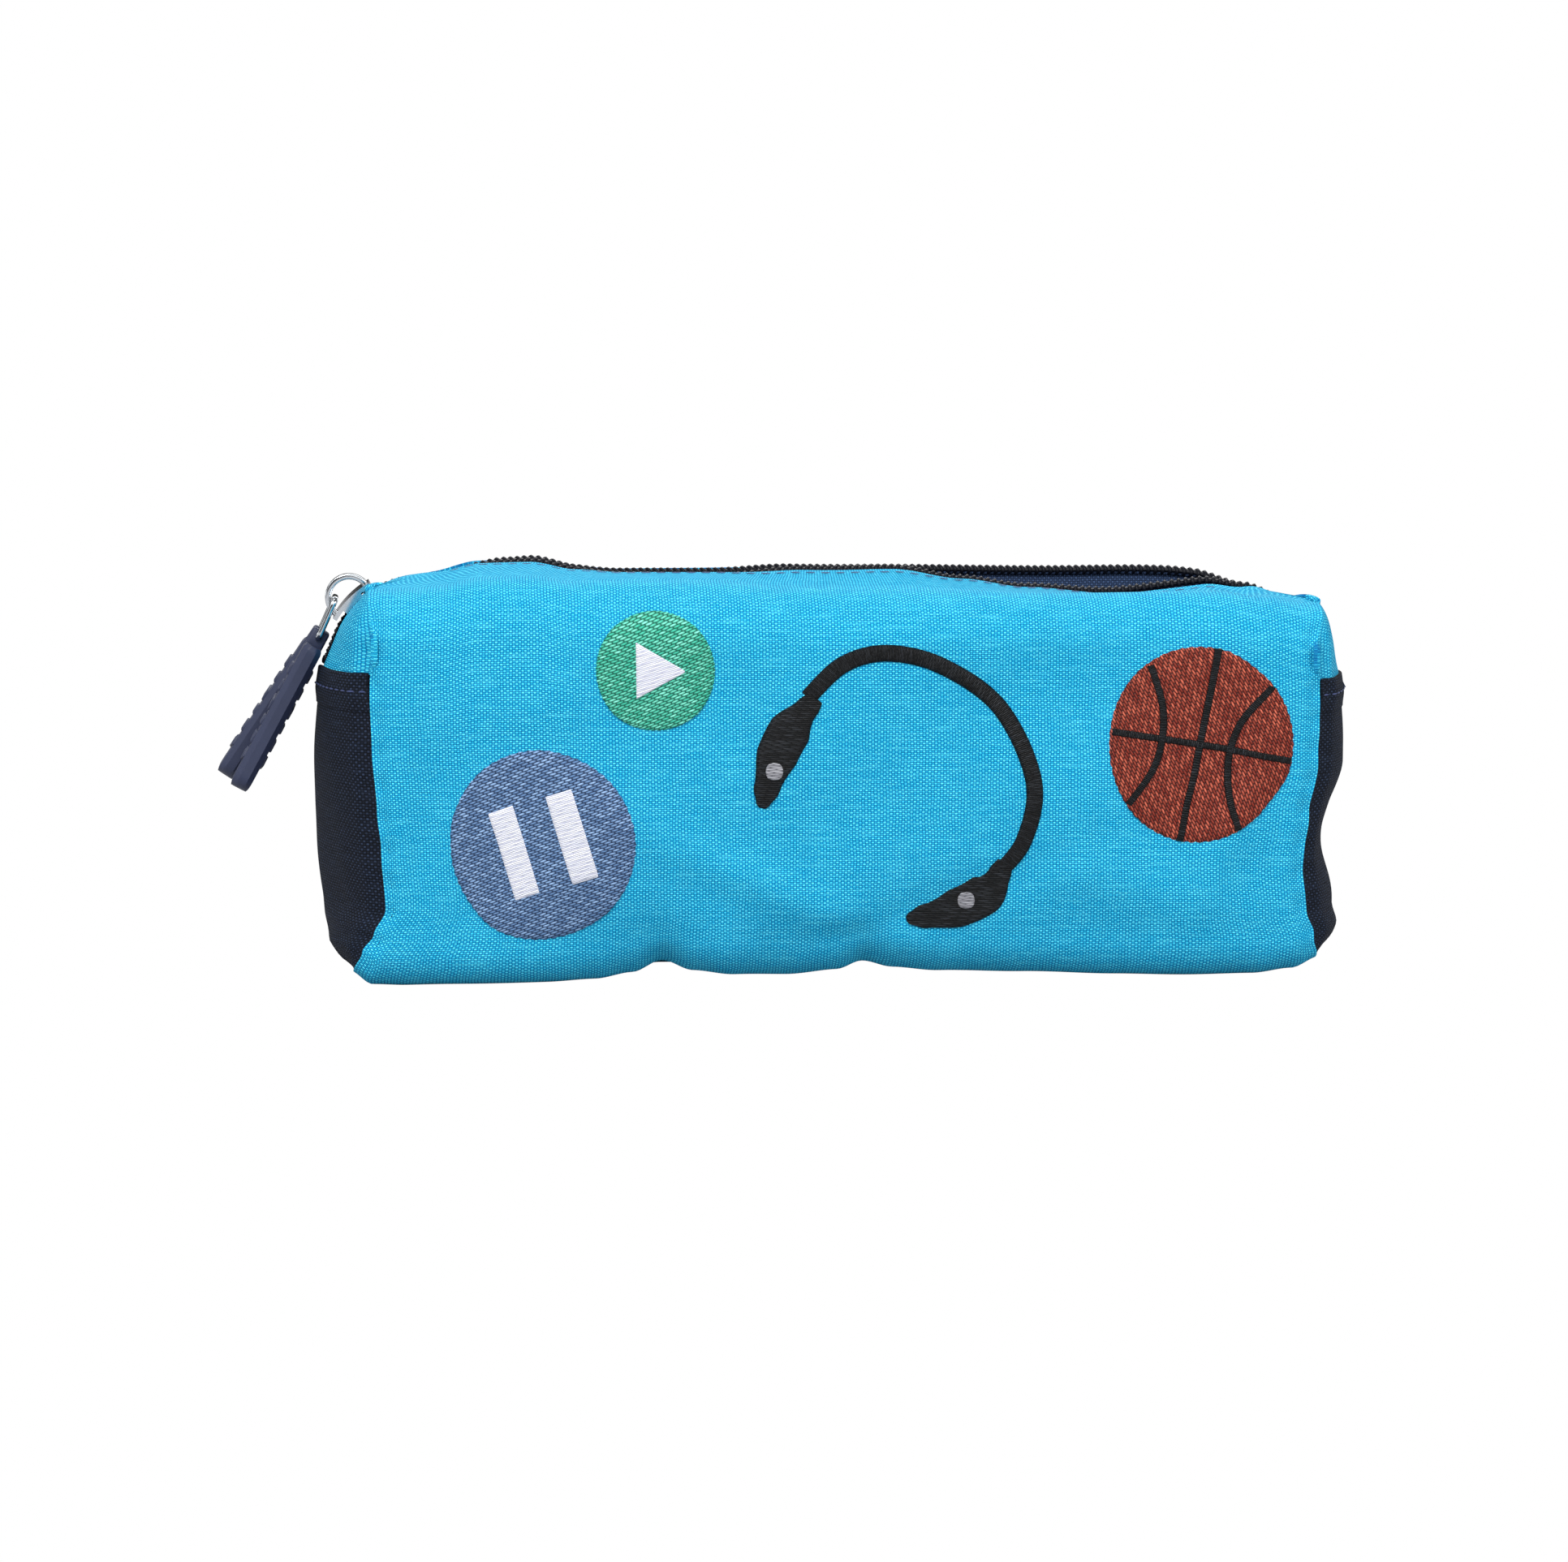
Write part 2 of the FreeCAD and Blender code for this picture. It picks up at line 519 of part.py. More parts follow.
def grip(name, sign, angle):
    """A rubber grip: bevelled strip, eyelet round the ring's bar and raised ribs on both faces."""
    low = "-Spec.grip_gap - Spec.grip_width" if sign < 0 else "Spec.grip_gap"
    high = "-Spec.grip_gap" if sign < 0 else "Spec.grip_gap + Spec.grip_width"
    foot = "(-Spec.grip_drop - Spec.grip_length)"
    half = "(Spec.grip_thick / 2)"
    corners = [("-%s + Spec.grip_bevel" % half, low), ("%s - Spec.grip_bevel" % half, low),
               (half, low + " + Spec.grip_bevel"), (half, high + " - Spec.grip_bevel"),
               ("%s - Spec.grip_bevel" % half, high), ("-%s + Spec.grip_bevel" % half, high),
               ("-" + half, high + " - Spec.grip_bevel"), ("-" + half, low + " + Spec.grip_bevel")]
    column = prism(name + "_column", outline(name + "_outline", Rotation(), corners, {}), Vector(0, 0, 1))
    strip = common(name + "_strip", column, box(name + "_reach", (-REACH, -REACH, foot), (REACH, REACH, "-Spec.grip_drop")))
    middle = "%s * (Spec.eyelet_width / 2 + Spec.grip_gap)" % sign
    pieces = [strip, drum(name + "_eye", spec("eyelet_radius"), spec("eyelet_width"), ("0", middle, "0")),
              box(name + "_neck", ("-Spec.grip_thick / 3", "%s - Spec.eyelet_width / 2" % middle, "-Spec.grip_drop - 1"),
                  ("Spec.grip_thick / 3", "%s + Spec.eyelet_width / 2" % middle, "0"))]
    for number in range(RIB_COUNT):
        top = "-Spec.grip_drop - Spec.rib_start - %d * Spec.rib_pitch" % number
        pieces.append(box("%s_rib_%d" % (name, number),
                          ("-%s - Spec.rib_proud" % half, low + " + Spec.rib_inset", top + " - Spec.rib_length"),
                          ("%s + Spec.rib_proud" % half, high + " - Spec.rib_inset", top)))
    bore = drum(name + "_bore", "Spec.wire_radius + Spec.eyelet_clearance", REACH, ("0", "0", "0"))
    item = node(cut(name + "_cut", fuse(name + "_fuse", *pieces), bore), name)
    item.Placement = Placement(Vector(), Rotation(Vector(0, 1, 0), size(angle)))
    bind(item, Placement__Base__x=grip_bar[0], Placement__Base__z=grip_bar[2])


grip("front_grip", -1, "front_grip_angle")
grip("rear_grip", 1, "rear_grip_angle")

# embroidery on the front wall
WALL = "(-%s)" % HALF_DEPTH
DISC_FACE = "(%s - Spec.thread_thick)" % WALL
MOTIF_FACE = "(%s - Spec.motif_thick)" % DISC_FACE
DISC_MIDDLE = "(%s - Spec.thread_thick / 2)" % WALL


def disc(name, radius, across, up):
    return drum(name, radius, spec("thread_thick"), (across, DISC_MIDDLE, up))


node(disc("pause_round", spec("pause_radius"), spec("pause_across"), spec("pause_up")), "pause_disc")
node(disc("play_round", spec("play_radius"), spec("play_across"), spec("play_up")), "play_disc")
bars = []
for number, sign in enumerate(("-", "")):
    centre = "%sSpec.bar_spacing / 2" % sign
    bars.append(box("pause_bar_%d" % number, ("%s - Spec.bar_width / 2" % centre, MOTIF_FACE, "-Spec.bar_length / 2"),
                    ("%s + Spec.bar_width / 2" % centre, DISC_FACE, "Spec.bar_length / 2")))
pair = node(fuse("pause_bars_fuse", *bars), "pause_bars")
pair.Placement = Placement(Vector(), Rotation(Vector(0, 1, 0), -size("bar_tilt")))
bind(pair, Placement__Base__x=spec("pause_across"), Placement__Base__z=spec("pause_up"))

triangle = doc.addObject("Part::Prism", "triangle_prism")
triangle.Polygon = 3
triangle.Placement = Placement(Vector(), Rotation(Vector(1, 0, 0), 90))
node(bind(triangle, Circumradius=spec("triangle_radius"), Height=spec("motif_thick"),
          Placement__Base__x="Spec.play_across - 1", Placement__Base__y=DISC_FACE, Placement__Base__z=spec("play_up")),
     "play_triangle")

# basketball: a disc, a cross and two curved lines cut from rings
ball = disc("ball_round", spec("ball_radius"), spec("ball_across"), spec("ball_up"))
node(ball, "basketball_disc")
MOTIF_MIDDLE = "(%s - Spec.motif_thick / 2)" % DISC_FACE
line_half = "Spec.ball_line / 2"
across = box("ball_across", ("-Spec.ball_radius", MOTIF_FACE, "-" + line_half), ("Spec.ball_radius", DISC_FACE, line_half))
upright = box("ball_upright", ("-" + line_half, MOTIF_FACE, "-Spec.ball_radius"), (line_half, DISC_FACE, "Spec.ball_radius"))
seams = [across, upright]
for side, sign in (("left", "-"), ("right", "")):
    centre = (sign + "Spec.seam_centre", MOTIF_MIDDLE, "0")
    seams.append(cut(side + "_seam", drum(side + "_seam_outer", spec("seam_radius"), spec("motif_thick"), centre),
                     drum(side + "_seam_inner", "Spec.seam_radius - Spec.ball_line", "1", centre)))
lines = common("ball_lines_trim", fuse("ball_lines_fuse", *seams),
               drum("ball_edge", spec("ball_radius"), spec("motif_thick"), ("0", MOTIF_MIDDLE, "0")))
lines.Placement = Placement(Vector(), Rotation(Vector(0, 1, 0), size("ball_tilt")))
node(bind(lines, Placement__Base__x=spec("ball_across"), Placement__Base__z=spec("ball_up")), "basketball_lines")

# headphones: two arcs joined at a common tangent point, and a leaf-shaped pad at each end
# places across and up the wall: along the band's midline, and each pad's tip, end, bulge and dot
BAND_POINTS = [(-7.5, 60.5), (9.0, 69.3), (26.0, 63.9), (40.6, 43.0), (34.3, 24.0)]
PADS = {"left": ((-7.2, 60.8), (-15.0, 40.5), 3.47, (-14.3, 46.0)),
        "right": ((34.8, 26.5), (16.5, 13.6), 3.35, (26.9, 17.8))}


def on_wall(point, depth):
    return Vector(point[0], depth, point[1])


def thick_arc(first, middle, last, depth):
    """A flat strip of even width along an arc."""
    circle = Part.Arc(*(on_wall(point, depth) for point in (first, middle, last))).toShape().Curve
    centre, radius, half = circle.Center, circle.Radius, size("band_width") / 2
    edges = []
    for reach in (radius - half, radius + half):
        ends_and_middle = [centre + (on_wall(point, depth) - centre).normalize() * reach
                           for point in (first, middle, last)]
        edges.append(ends_and_middle)
    inner, outer = edges
    return Part.Face(Part.Wire([Part.Arc(*outer).toShape(), Part.LineSegment(outer[2], inner[2]).toShape(),
                                Part.Arc(*reversed(inner)).toShape(), Part.LineSegment(inner[0], outer[0]).toShape()]))


def leaf(start, end, bulge, depth):
    """A pointed pad between two places."""
    first, last = on_wall(start, depth), on_wall(end, depth)
    along = (last - first).normalize()
    out = along.cross(Vector(0, 1, 0)) * bulge
    middle = (first + last) * 0.5
    return Part.Face(Part.Wire([Part.Arc(first, middle + out, last).toShape(), Part.Arc(last, middle - out, first).toShape()]))


wall_face = float(sheet.evalExpression(WALL))
push = Vector(0, -size("thread_thick"), 0)
strips = [thick_arc(*BAND_POINTS[0:3], wall_face), thick_arc(*BAND_POINTS[2:5], wall_face)]
strips += [leaf(start, end, bulge, wall_face) for start, end, bulge, dot in PADS.values()]
solids = [face.extrude(push) for face in strips]
band = doc.addObject("Part::Feature", "band")
band.Shape = solids[0].fuse(solids[1:]).removeSplitter()
node(band, "headphone_band")
dots = [drum("dot_" + side, spec("dot_radius"), spec("motif_thick"), (pad[3][0], MOTIF_MIDDLE, pad[3][1]))
        for side, pad in PADS.items()]
node(fuse("dots_fuse", *dots), "headphone_dots")

# check and write
doc.recompute()
failed = [item.Name for item in doc.Objects if "Invalid" in item.State or "Error" in item.State]
if failed:
    raise SystemExit("failed objects: %s" % failed)
for name, item in nodes.items():
    if item.Shape.isNull() or not item.Shape.isValid() or not item.Shape.Solids:
        raise SystemExit("bad shape: " + name)
os.makedirs("parts", exist_ok=True)
for name, item in nodes.items():
    item.Shape.exportStep("parts/%s.step" % name)
    print(name, len(item.Shape.Solids), "solids", round(item.Shape.Volume, 1), "mm3", item.Shape.BoundBox)
for name, place in (("turn", TURN), ("ring_bar", ring_bar), ("grip_bar", grip_bar)):
    print(name, [round(float(sheet.evalExpression(value)), 4) for value in place])
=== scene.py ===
import json
import math
import bpy
from mathutils import Matrix, Vector, noise


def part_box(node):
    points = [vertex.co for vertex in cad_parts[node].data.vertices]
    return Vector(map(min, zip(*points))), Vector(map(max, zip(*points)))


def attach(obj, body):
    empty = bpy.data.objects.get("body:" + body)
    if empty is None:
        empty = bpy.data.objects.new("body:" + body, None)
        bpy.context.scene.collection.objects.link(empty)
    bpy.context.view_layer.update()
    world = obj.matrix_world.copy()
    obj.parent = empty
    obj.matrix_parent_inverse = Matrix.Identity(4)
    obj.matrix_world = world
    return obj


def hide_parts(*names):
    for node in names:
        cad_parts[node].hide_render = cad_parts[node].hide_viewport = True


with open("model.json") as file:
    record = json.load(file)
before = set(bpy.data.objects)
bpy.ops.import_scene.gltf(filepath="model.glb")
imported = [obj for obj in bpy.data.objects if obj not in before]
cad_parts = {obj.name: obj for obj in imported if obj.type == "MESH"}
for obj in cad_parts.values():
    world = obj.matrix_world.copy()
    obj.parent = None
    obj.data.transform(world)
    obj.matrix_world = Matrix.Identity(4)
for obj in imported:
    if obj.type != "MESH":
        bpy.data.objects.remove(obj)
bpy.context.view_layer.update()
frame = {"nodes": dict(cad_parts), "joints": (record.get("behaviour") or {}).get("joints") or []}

mm = 0.001
wall = [[value / mm for value in corner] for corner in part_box("front_panel")]
endWall = [[value / mm for value in corner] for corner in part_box("left_end_panel")]

# lengths in millimetres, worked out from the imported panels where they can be
case = {
    "halfLength": -endWall[1][0],       # to the corner seams
    "halfDepth": -wall[0][1],
    "height": wall[1][2],
    "hemTop": endWall[1][2],
    "hemReach": -wall[0][0],            # the zip's lower end
    "lowerRoll": 8.0,
    "underLap": 2.0,                    # of the wall below the base
    "shoulderRoll": 12.0,
    "shoulderStart": 20.0,              # out from the middle of the top
    "topSlant": 14.0,                   # across, from the zip to the shoulder
    "topFall": 2.0,                     # and down
    "zipHalf": -wall[1][1],
    "slope": math.radians(23),
    "turnRadius": 20.0,
    "canvasThick": 0.8,
}
turnHeight = case["height"] - case["turnRadius"]
hemRise = (case["hemTop"] - turnHeight) * math.sin(case["slope"])
turnReach = case["hemReach"] - (case["turnRadius"] - hemRise) / math.cos(case["slope"])
shoulderHeight = case["height"] - case["shoulderRoll"] - case["topFall"]


def smooth(low, high, value):
    t = min(1, max(0, (value - low) / (high - low)))
    return t * t * (3 - 2 * t)


def mix(a, b, t):
    return a + (b - a) * t


def follow(stops, value):  # a soft line through a few stops
    if value <= stops[0][0]:
        return stops[0][1]
    for (x0, y0), (x1, y1) in zip(stops, stops[1:]):
        if value <= x1:
            return mix(y0, y1, smooth(x0, x1, value))
    return stops[-1][1]


def trace(stops, value):  # a flowing line through a few stops
    for number in range(len(stops) - 1):
        (x0, y0), (x1, y1) = stops[number], stops[number + 1]
        if value <= x1:
            t, width = max(0, value - x0) / (x1 - x0), x1 - x0
            before, after = stops[max(0, number - 1)], stops[min(len(stops) - 1, number + 2)]
            slope0, slope1 = (y1 - before[1]) / (x1 - before[0]), (after[1] - y0) / (after[0] - x0)
            return (y0 * (1 + 2 * t) * (1 - t) ** 2 + y1 * (3 - 2 * t) * t * t
                    + width * t * (1 - t) * (slope0 * (1 - t) - slope1 * t))
    return stops[-1][1]


def ripple(x, y, size, seed=0.0):
    return noise.noise(Vector((x / size, y / size, seed)))


def deselect():
    bpy.ops.object.select_all(action="DESELECT")


def activate(piece):
    deselect()
    piece.select_set(True)
    bpy.context.view_layer.objects.active = piece


def modify(piece, kind, **values):
    activate(piece)
    modifier = piece.modifiers.new(kind.title(), kind)
    for key, value in values.items():
        setattr(modifier, key, value)
    bpy.ops.object.modifier_apply(modifier=modifier.name)


def join(name, pieces):
    activate(pieces[0])
    for piece in pieces:
        piece.select_set(True)
    if len(pieces) > 1:
        bpy.ops.object.join()
    joined = bpy.context.view_layer.objects.active
    joined.name = joined.data.name = name
    return joined


def faceOut(piece):
    activate(piece)
    bpy.ops.object.mode_set(mode="EDIT")
    bpy.ops.mesh.select_all(action="SELECT")
    bpy.ops.mesh.normals_make_consistent(inside=False)
    bpy.ops.object.mode_set(mode="OBJECT")


def smoothFaces(piece, angle=50):
    activate(piece)
    bpy.ops.object.shade_smooth_by_angle(angle=math.radians(angle))


# how the sewn case settles: every soft piece goes through this
slump = {
    # stops of place along the case and millimetres
    "topSag": [(-115, 0.6), (-101, -0.4), (-91, -0.6), (-86, -1.0), (-76, -2.8), (-65, -2.9), (-55, -1.3),
               (-45, -0.6), (-24, -0.5), (7, 0), (48, 0.5), (69, 0.2), (80, 0.4), (90, 1.9), (98, 3.6),
               (115, 3.6)],
    "backSag": [(-98, 3.4), (-80, 0), (74, 0), (97, 4.6)],      # the rear corners hang lower
    "mouthDip": [(-24, 0), (-5, -1.2), (13, -1.6), (28, 0.6), (42, 2.4), (63, 4.2), (86, 2.4), (99, 0)],
    "frontSwell": [(-62, 0), (-44, 1.3), (-26, 1.2), (-12, 0)],  # the front rises over the zip here
    "footLift": [(-102, 3.4), (-97, 0.3), (-90, 0), (-62, 0.1), (-52, 0.5), (-44, 1.7), (-37.5, 4.2),
                 (-31, 2.1), (-22, 1.1), (-11, 0.9), (0, 1.9), (5.5, 3.6), (12, 2.3), (22, 1.5), (40, 0.9),
                 (60, 0.3), (75, 0), (88, 0.2), (96, 1.2), (102, 3.6)],
    "coilStand": [(-98, -0.4), (-91, -0.6), (-86, -1.0), (-81, -1.5), (-70, 0.2), (-62, 0.6), (-50, -0.3),
                  (-24, -0.5), (-8, 0.4), (84, 0.6), (95, 0)],
    # stops of height and how far the corner seams are drawn in
    "leftPinch": [(0, -2.6), (6, -1.6), (11, 0.9), (17, 3.4), (30, 2.6), (38, 1.8), (52, 0.8), (62, 0.5),
                  (74, 0.8), (84, 1.4)],
    "rightPinch": [(0, -2.6), (8, -2.4), (14, -0.7), (24, 0.2), (36, -1.0), (46, -2.8), (60, -3.1),
                   (76, -2.7), (84, -3.2)],
    # place, width and depth along the front foot
    "tucks": [(-38, 9, 3.2), (6, 8, 2.8), (-52, 14, 2.6), (-14, 13, 3.4), (40, 24, 2.8), (-84, 7, 0.8)],
    # x, z, length, width, tilt and height
    "folds": [(-18, 22, 30, 5, -24, 1.5), (16, 15, 34, 4.5, 22, -1.2), (66, 20, 26, 6, -12, 0.9),
              (-66, 60, 30, 9, 18, 0.7), (38, 62, 34, 8, -8, -0.7), (-12, 50, 40, 10, 30, 0.6),
              (84, 34, 20, 5, 70, 1.1), (-92, 30, 18, 5, 78, -1.3)],
    "belly": 1.6,            # the long walls fall in
    "broadRipple": 1.5,
    "fineRipple": 0.35,
    "backDrop": 1.3,         # the rear cloth falls away behind the zip
    "seamIn": 0.9,           # the corner seams draw both cloths in
    "seamOut": 1.4,
    "grooveWidth": 1.1,      # the dent along the seam of the corner flaps
    "grooveIn": (0.7, 2.0),
}


def foldHeight(x, z):
    total = 0
    for foldX, foldZ, length, width, tilt, height in slump["folds"]:
        turn = math.radians(tilt)
        along = (x - foldX) * math.cos(turn) + (z - foldZ) * math.sin(turn)
        across = (z - foldZ) * math.cos(turn) - (x - foldX) * math.sin(turn)
        total += height * math.exp(-(along / length) ** 2 - (across / width) ** 2)
    return total


def settle(point):
    x, y, z = point
    inward = 1 if x < 0 else -1
    side = 1 if y < 0 else -1
    # corner seams
    pinch = follow(slump["leftPinch" if x < 0 else "rightPinch"], z)
    newX = x + inward * pinch * smooth(58, 101, abs(x)) * smooth(2, 24, abs(y) + 8)
    # top
    upper = smooth(34, 84, z)
    newZ = z - follow(slump["topSag"], x) * upper - follow(slump["backSag"], x) * upper * smooth(-6, 14, y)
    newZ += follow(slump["frontSwell"], x) * smooth(66, 80, z) * math.exp(-((y + 19) / 8) ** 2)
    newZ -= follow(slump["mouthDip"], x) * smooth(70, 80, z) * math.exp(-((y + 10) / 9) ** 2)
    # long walls
    face = smooth(18, 30, abs(y)) * (1 - 0.9 * smooth(86, 101, abs(x)))
    belly = slump["belly"] * math.cos(x / 101 * math.pi / 2) * math.sin(min(1, max(0, z / 84)) * math.pi)
    relief = belly * side * -1 + ripple(x, z, 38, 3.0 if y < 0 else 9.0) * slump["broadRipple"] * -side
    relief += ripple(x, z, 15, 5.0) * slump["fineRipple"]
    relief += -foldHeight(x, z) if y < 0 else foldHeight(-x * 0.8 + 10, z) * 0.9
    newY = y + relief * face * smooth(0, 16, z)
    # foot
    foot = math.exp(-(z / 13) ** 2) * smooth(12, 30, abs(y))
    for place, width, depth in slump["tucks"]:
        near = math.exp(-((x - (place if y < 0 else -place * 0.9)) / width) ** 2)
        newY += side * depth * near * foot * 0.9
    lift = follow(slump["footLift"], x if y < 0 else -x * 0.9)
    newZ += lift * math.exp(-(z / 10) ** 2) * smooth(-2, 24, abs(y))
    # beside the coils
    across = abs(y) - mouthSpread(x)
    newZ += follow(slump["coilStand"], x) * (1 - smooth(3.8, 6.5, across)) * smooth(74, 82, z)
    if y > 0:
        middle = smooth(-96, -80, x) * (1 - smooth(84, 98, x))
        newZ -= slump["backDrop"] * smooth(3.8, 10, across) * smooth(74, 82, z) * middle
    # corner seams, where the cloths meet
    tuckIn = smooth(96, 101, abs(x)) * smooth(27, 31.5, abs(y)) * smooth(0, 6, z)
    newX += inward * tuckIn * slump["seamIn"]
    newY += side * tuckIn * (slump["seamOut"] + 0.25 * math.sin(z * 0.9))
    groove = math.exp(-(math.hypot(abs(x) - 101, abs(y) - 32) / slump["grooveWidth"]) ** 2)
    groove *= smooth(case["hemTop"] - 0.5, case["hemTop"] + 4, z)
    newX += inward * groove * slump["grooveIn"][0]
    newY -= side * groove * slump["grooveIn"][1]
    return Vector((newX, newY, max(newZ, 0.02)))


# the resting outline
cornerReach = math.hypot(case["shoulderStart"] - case["zipHalf"], case["topFall"])  # where the seams start
shoulderLength = case["shoulderRoll"] * math.pi / 2
uprightLength = shoulderHeight - case["lowerRoll"]
rollLength = case["lowerRoll"] * math.pi / 2
crossLength = (math.hypot(case["topSlant"], case["topFall"]) + shoulderLength + uprightLength + rollLength
               + case["underLap"])


def crossPoint(reach):  # round the section from the zip's edge to the seam under the foot
    if reach < cornerReach:
        t = reach / cornerReach
        return mix(case["zipHalf"], case["shoulderStart"], t), case["height"] - case["topFall"] * t
    reach -= cornerReach
    if reach < shoulderLength:
        angle = reach / case["shoulderRoll"]
        return (case["shoulderStart"] + case["shoulderRoll"] * math.sin(angle),
                shoulderHeight + case["shoulderRoll"] * math.cos(angle))
    reach -= shoulderLength
    if reach < uprightLength:
        return case["halfDepth"], shoulderHeight - reach
    reach -= uprightLength
    centre = case["halfDepth"] - case["lowerRoll"]
    if reach < rollLength:
        angle = reach / case["lowerRoll"]
        return centre + case["lowerRoll"] * math.cos(angle), case["lowerRoll"] * (1 - math.sin(angle))
    return centre - (reach - rollLength), 0.0


def seamLength(reach):  # half length of the panels at a place on the section
    return mix(turnReach, case["halfLength"], smooth(0, cornerReach, reach) if reach < cornerReach else 1)


mouth = {"centre": 14, "half": 74, "width": 7}  # where the two halves of the zip stand apart


def mouthSpread(x):
    t = (x - mouth["centre"]) / mouth["half"]
    return mouth["width"] * max(0, 1 - t * t) if abs(t) < 1 else 0


def panelPoint(x, reach, side, out=0.0):  # side is -1 for the front, 1 for the back
    y, z = crossPoint(reach)
    before, after = crossPoint(max(0, reach - 0.5)), crossPoint(reach + 0.5)
    normal = Vector((before[1] - after[1], after[0] - before[0])).normalized()
    y, z = y + normal.x * out, z + normal.y * out
    if y < case["shoulderStart"]:
        squeeze = (case["topSlant"] - mouthSpread(x)) / case["topSlant"]
        y = case["shoulderStart"] - (case["shoulderStart"] - y) * squeeze
    return Vector((x, side * y, z))


def wallReach(z):  # the section length at a height on the wall or the shoulder
    if z <= shoulderHeight:
        return cornerReach + shoulderLength + shoulderHeight - z
    return cornerReach + case["shoulderRoll"] * math.acos(min(1, (z - shoulderHeight) / case["shoulderRoll"]))


slopeLength = ((case["hemReach"] - turnReach - case["turnRadius"] * math.cos(case["slope"]))
               / math.sin(case["slope"]))
turnRun = slopeLength + case["turnRadius"] * (math.pi / 2 - case["slope"])
zipHalfRun = turnRun + turnReach
zipLength = 2 * zipHalfRun


def zipProfile(run, depth=0.0):  # x and z along half the zip, from the hem to the middle of the top
    if run < slopeLength:
        x = case["hemReach"] - run * math.sin(case["slope"])
        z = case["hemTop"] + run * math.cos(case["slope"])
        return x - depth * math.cos(case["slope"]), z - depth * math.sin(case["slope"])
    if run < turnRun:
        angle = case["slope"] + (run - slopeLength) / case["turnRadius"]
        radius = case["turnRadius"] - depth
        return turnReach + radius * math.cos(angle), turnHeight + radius * math.sin(angle)
    return turnReach - (run - turnRun), case["height"] - depth


def zipPoint(run, across, side, depth=0.0):  # run from the left hem to the right hem
    left = run < zipHalfRun
    x, z = zipProfile(run if left else zipLength - run, depth)
    x = -x if left else x
    return Vector((x, side * (across + mouthSpread(x)), z))


def sheetMesh(name, columns, rows, place, cloth):  # place gives a point, cloth its spot on the flat cloth
    deselect()
    bpy.ops.mesh.primitive_grid_add(x_subdivisions=columns, y_subdivisions=rows, size=2)
    piece = bpy.context.object
    piece.name = piece.data.name = name
    flat = [(vertex.co.x / 2 + 0.5, vertex.co.y / 2 + 0.5) for vertex in piece.data.vertices]
    for vertex, (u, v) in zip(piece.data.vertices, flat):
        vertex.co = settle(place(u, v)) * mm
    layer = piece.data.uv_layers[0]
    for loop in piece.data.loops:
        layer.data[loop.index].uv = cloth(*flat[loop.vertex_index])
    return piece


def thicken(piece, thick, grow=-1.0):
    modify(piece, "SOLIDIFY", thickness=thick * mm, offset=grow, use_rim=True)


# materials
def newGroup(name, inputs, outputs):
    group = bpy.data.node_groups.new(name, "ShaderNodeTree")
    for label, kind, value in inputs:
        socket = group.interface.new_socket(label, in_out="INPUT", socket_type="NodeSocket" + kind)
        if value is not None:
            socket.default_value = value
    for label, kind in outputs:
        group.interface.new_socket(label, in_out="OUTPUT", socket_type="NodeSocket" + kind)
    return group, Wires(group, group.nodes.new("NodeGroupInput"), group.nodes.new("NodeGroupOutput"))


class Wires:  # short calls for building a node tree
    def __init__(self, tree, source=None, sink=None):
        self.tree, self.source, self.sink = tree, source, sink

    def node(self, kind, values=None, **links):
        made = self.tree.nodes.new("ShaderNode" + kind)
        for key, value in (values or {}).items():
            setattr(made, key, value)
        for key, value in links.items():
            self.feed(made.inputs[key.replace("_", " ")], value)
        return made

    def feed(self, socket, value):
        if isinstance(value, bpy.types.NodeSocket):
            self.tree.links.new(value, socket)
        else:
            socket.default_value = value

    def sum(self, operation, *values, clamp=False):
        made = self.node("Math", {"operation": operation, "use_clamp": clamp})
        for socket, value in zip(made.inputs, values):
            self.feed(socket, value)
        return made.outputs[0]

    def remap(self, value, low, high, newLow=0.0, newHigh=1.0, curve="LINEAR"):
        made = self.node("MapRange", {"interpolation_type": curve}, Value=value, From_Min=low, From_Max=high,
                         To_Min=newLow, To_Max=newHigh)
        return made.outputs[0]

    def blend(self, factor, first, second, mode="MIX"):
        made = self.node("Mix", {"data_type": "RGBA", "blend_type": mode})
        self.feed(made.inputs[0], factor)
        self.feed(made.inputs[6], first)
        self.feed(made.inputs[7], second)
        return made.outputs[2]

    def grain(self, vector, scale, detail=2.0, rough=0.5):
        made = self.node("TexNoise", None, Vector=vector, Scale=scale, Detail=detail, Roughness=rough)
        return made.outputs[0]

    def stretch(self, vector, scale, turn=(0, 0, 0)):
        made = self.node("Mapping", None, Vector=vector)
        made.inputs["Scale"].default_value = scale
        made.inputs["Rotation"].default_value = turn
        return made.outputs[0]


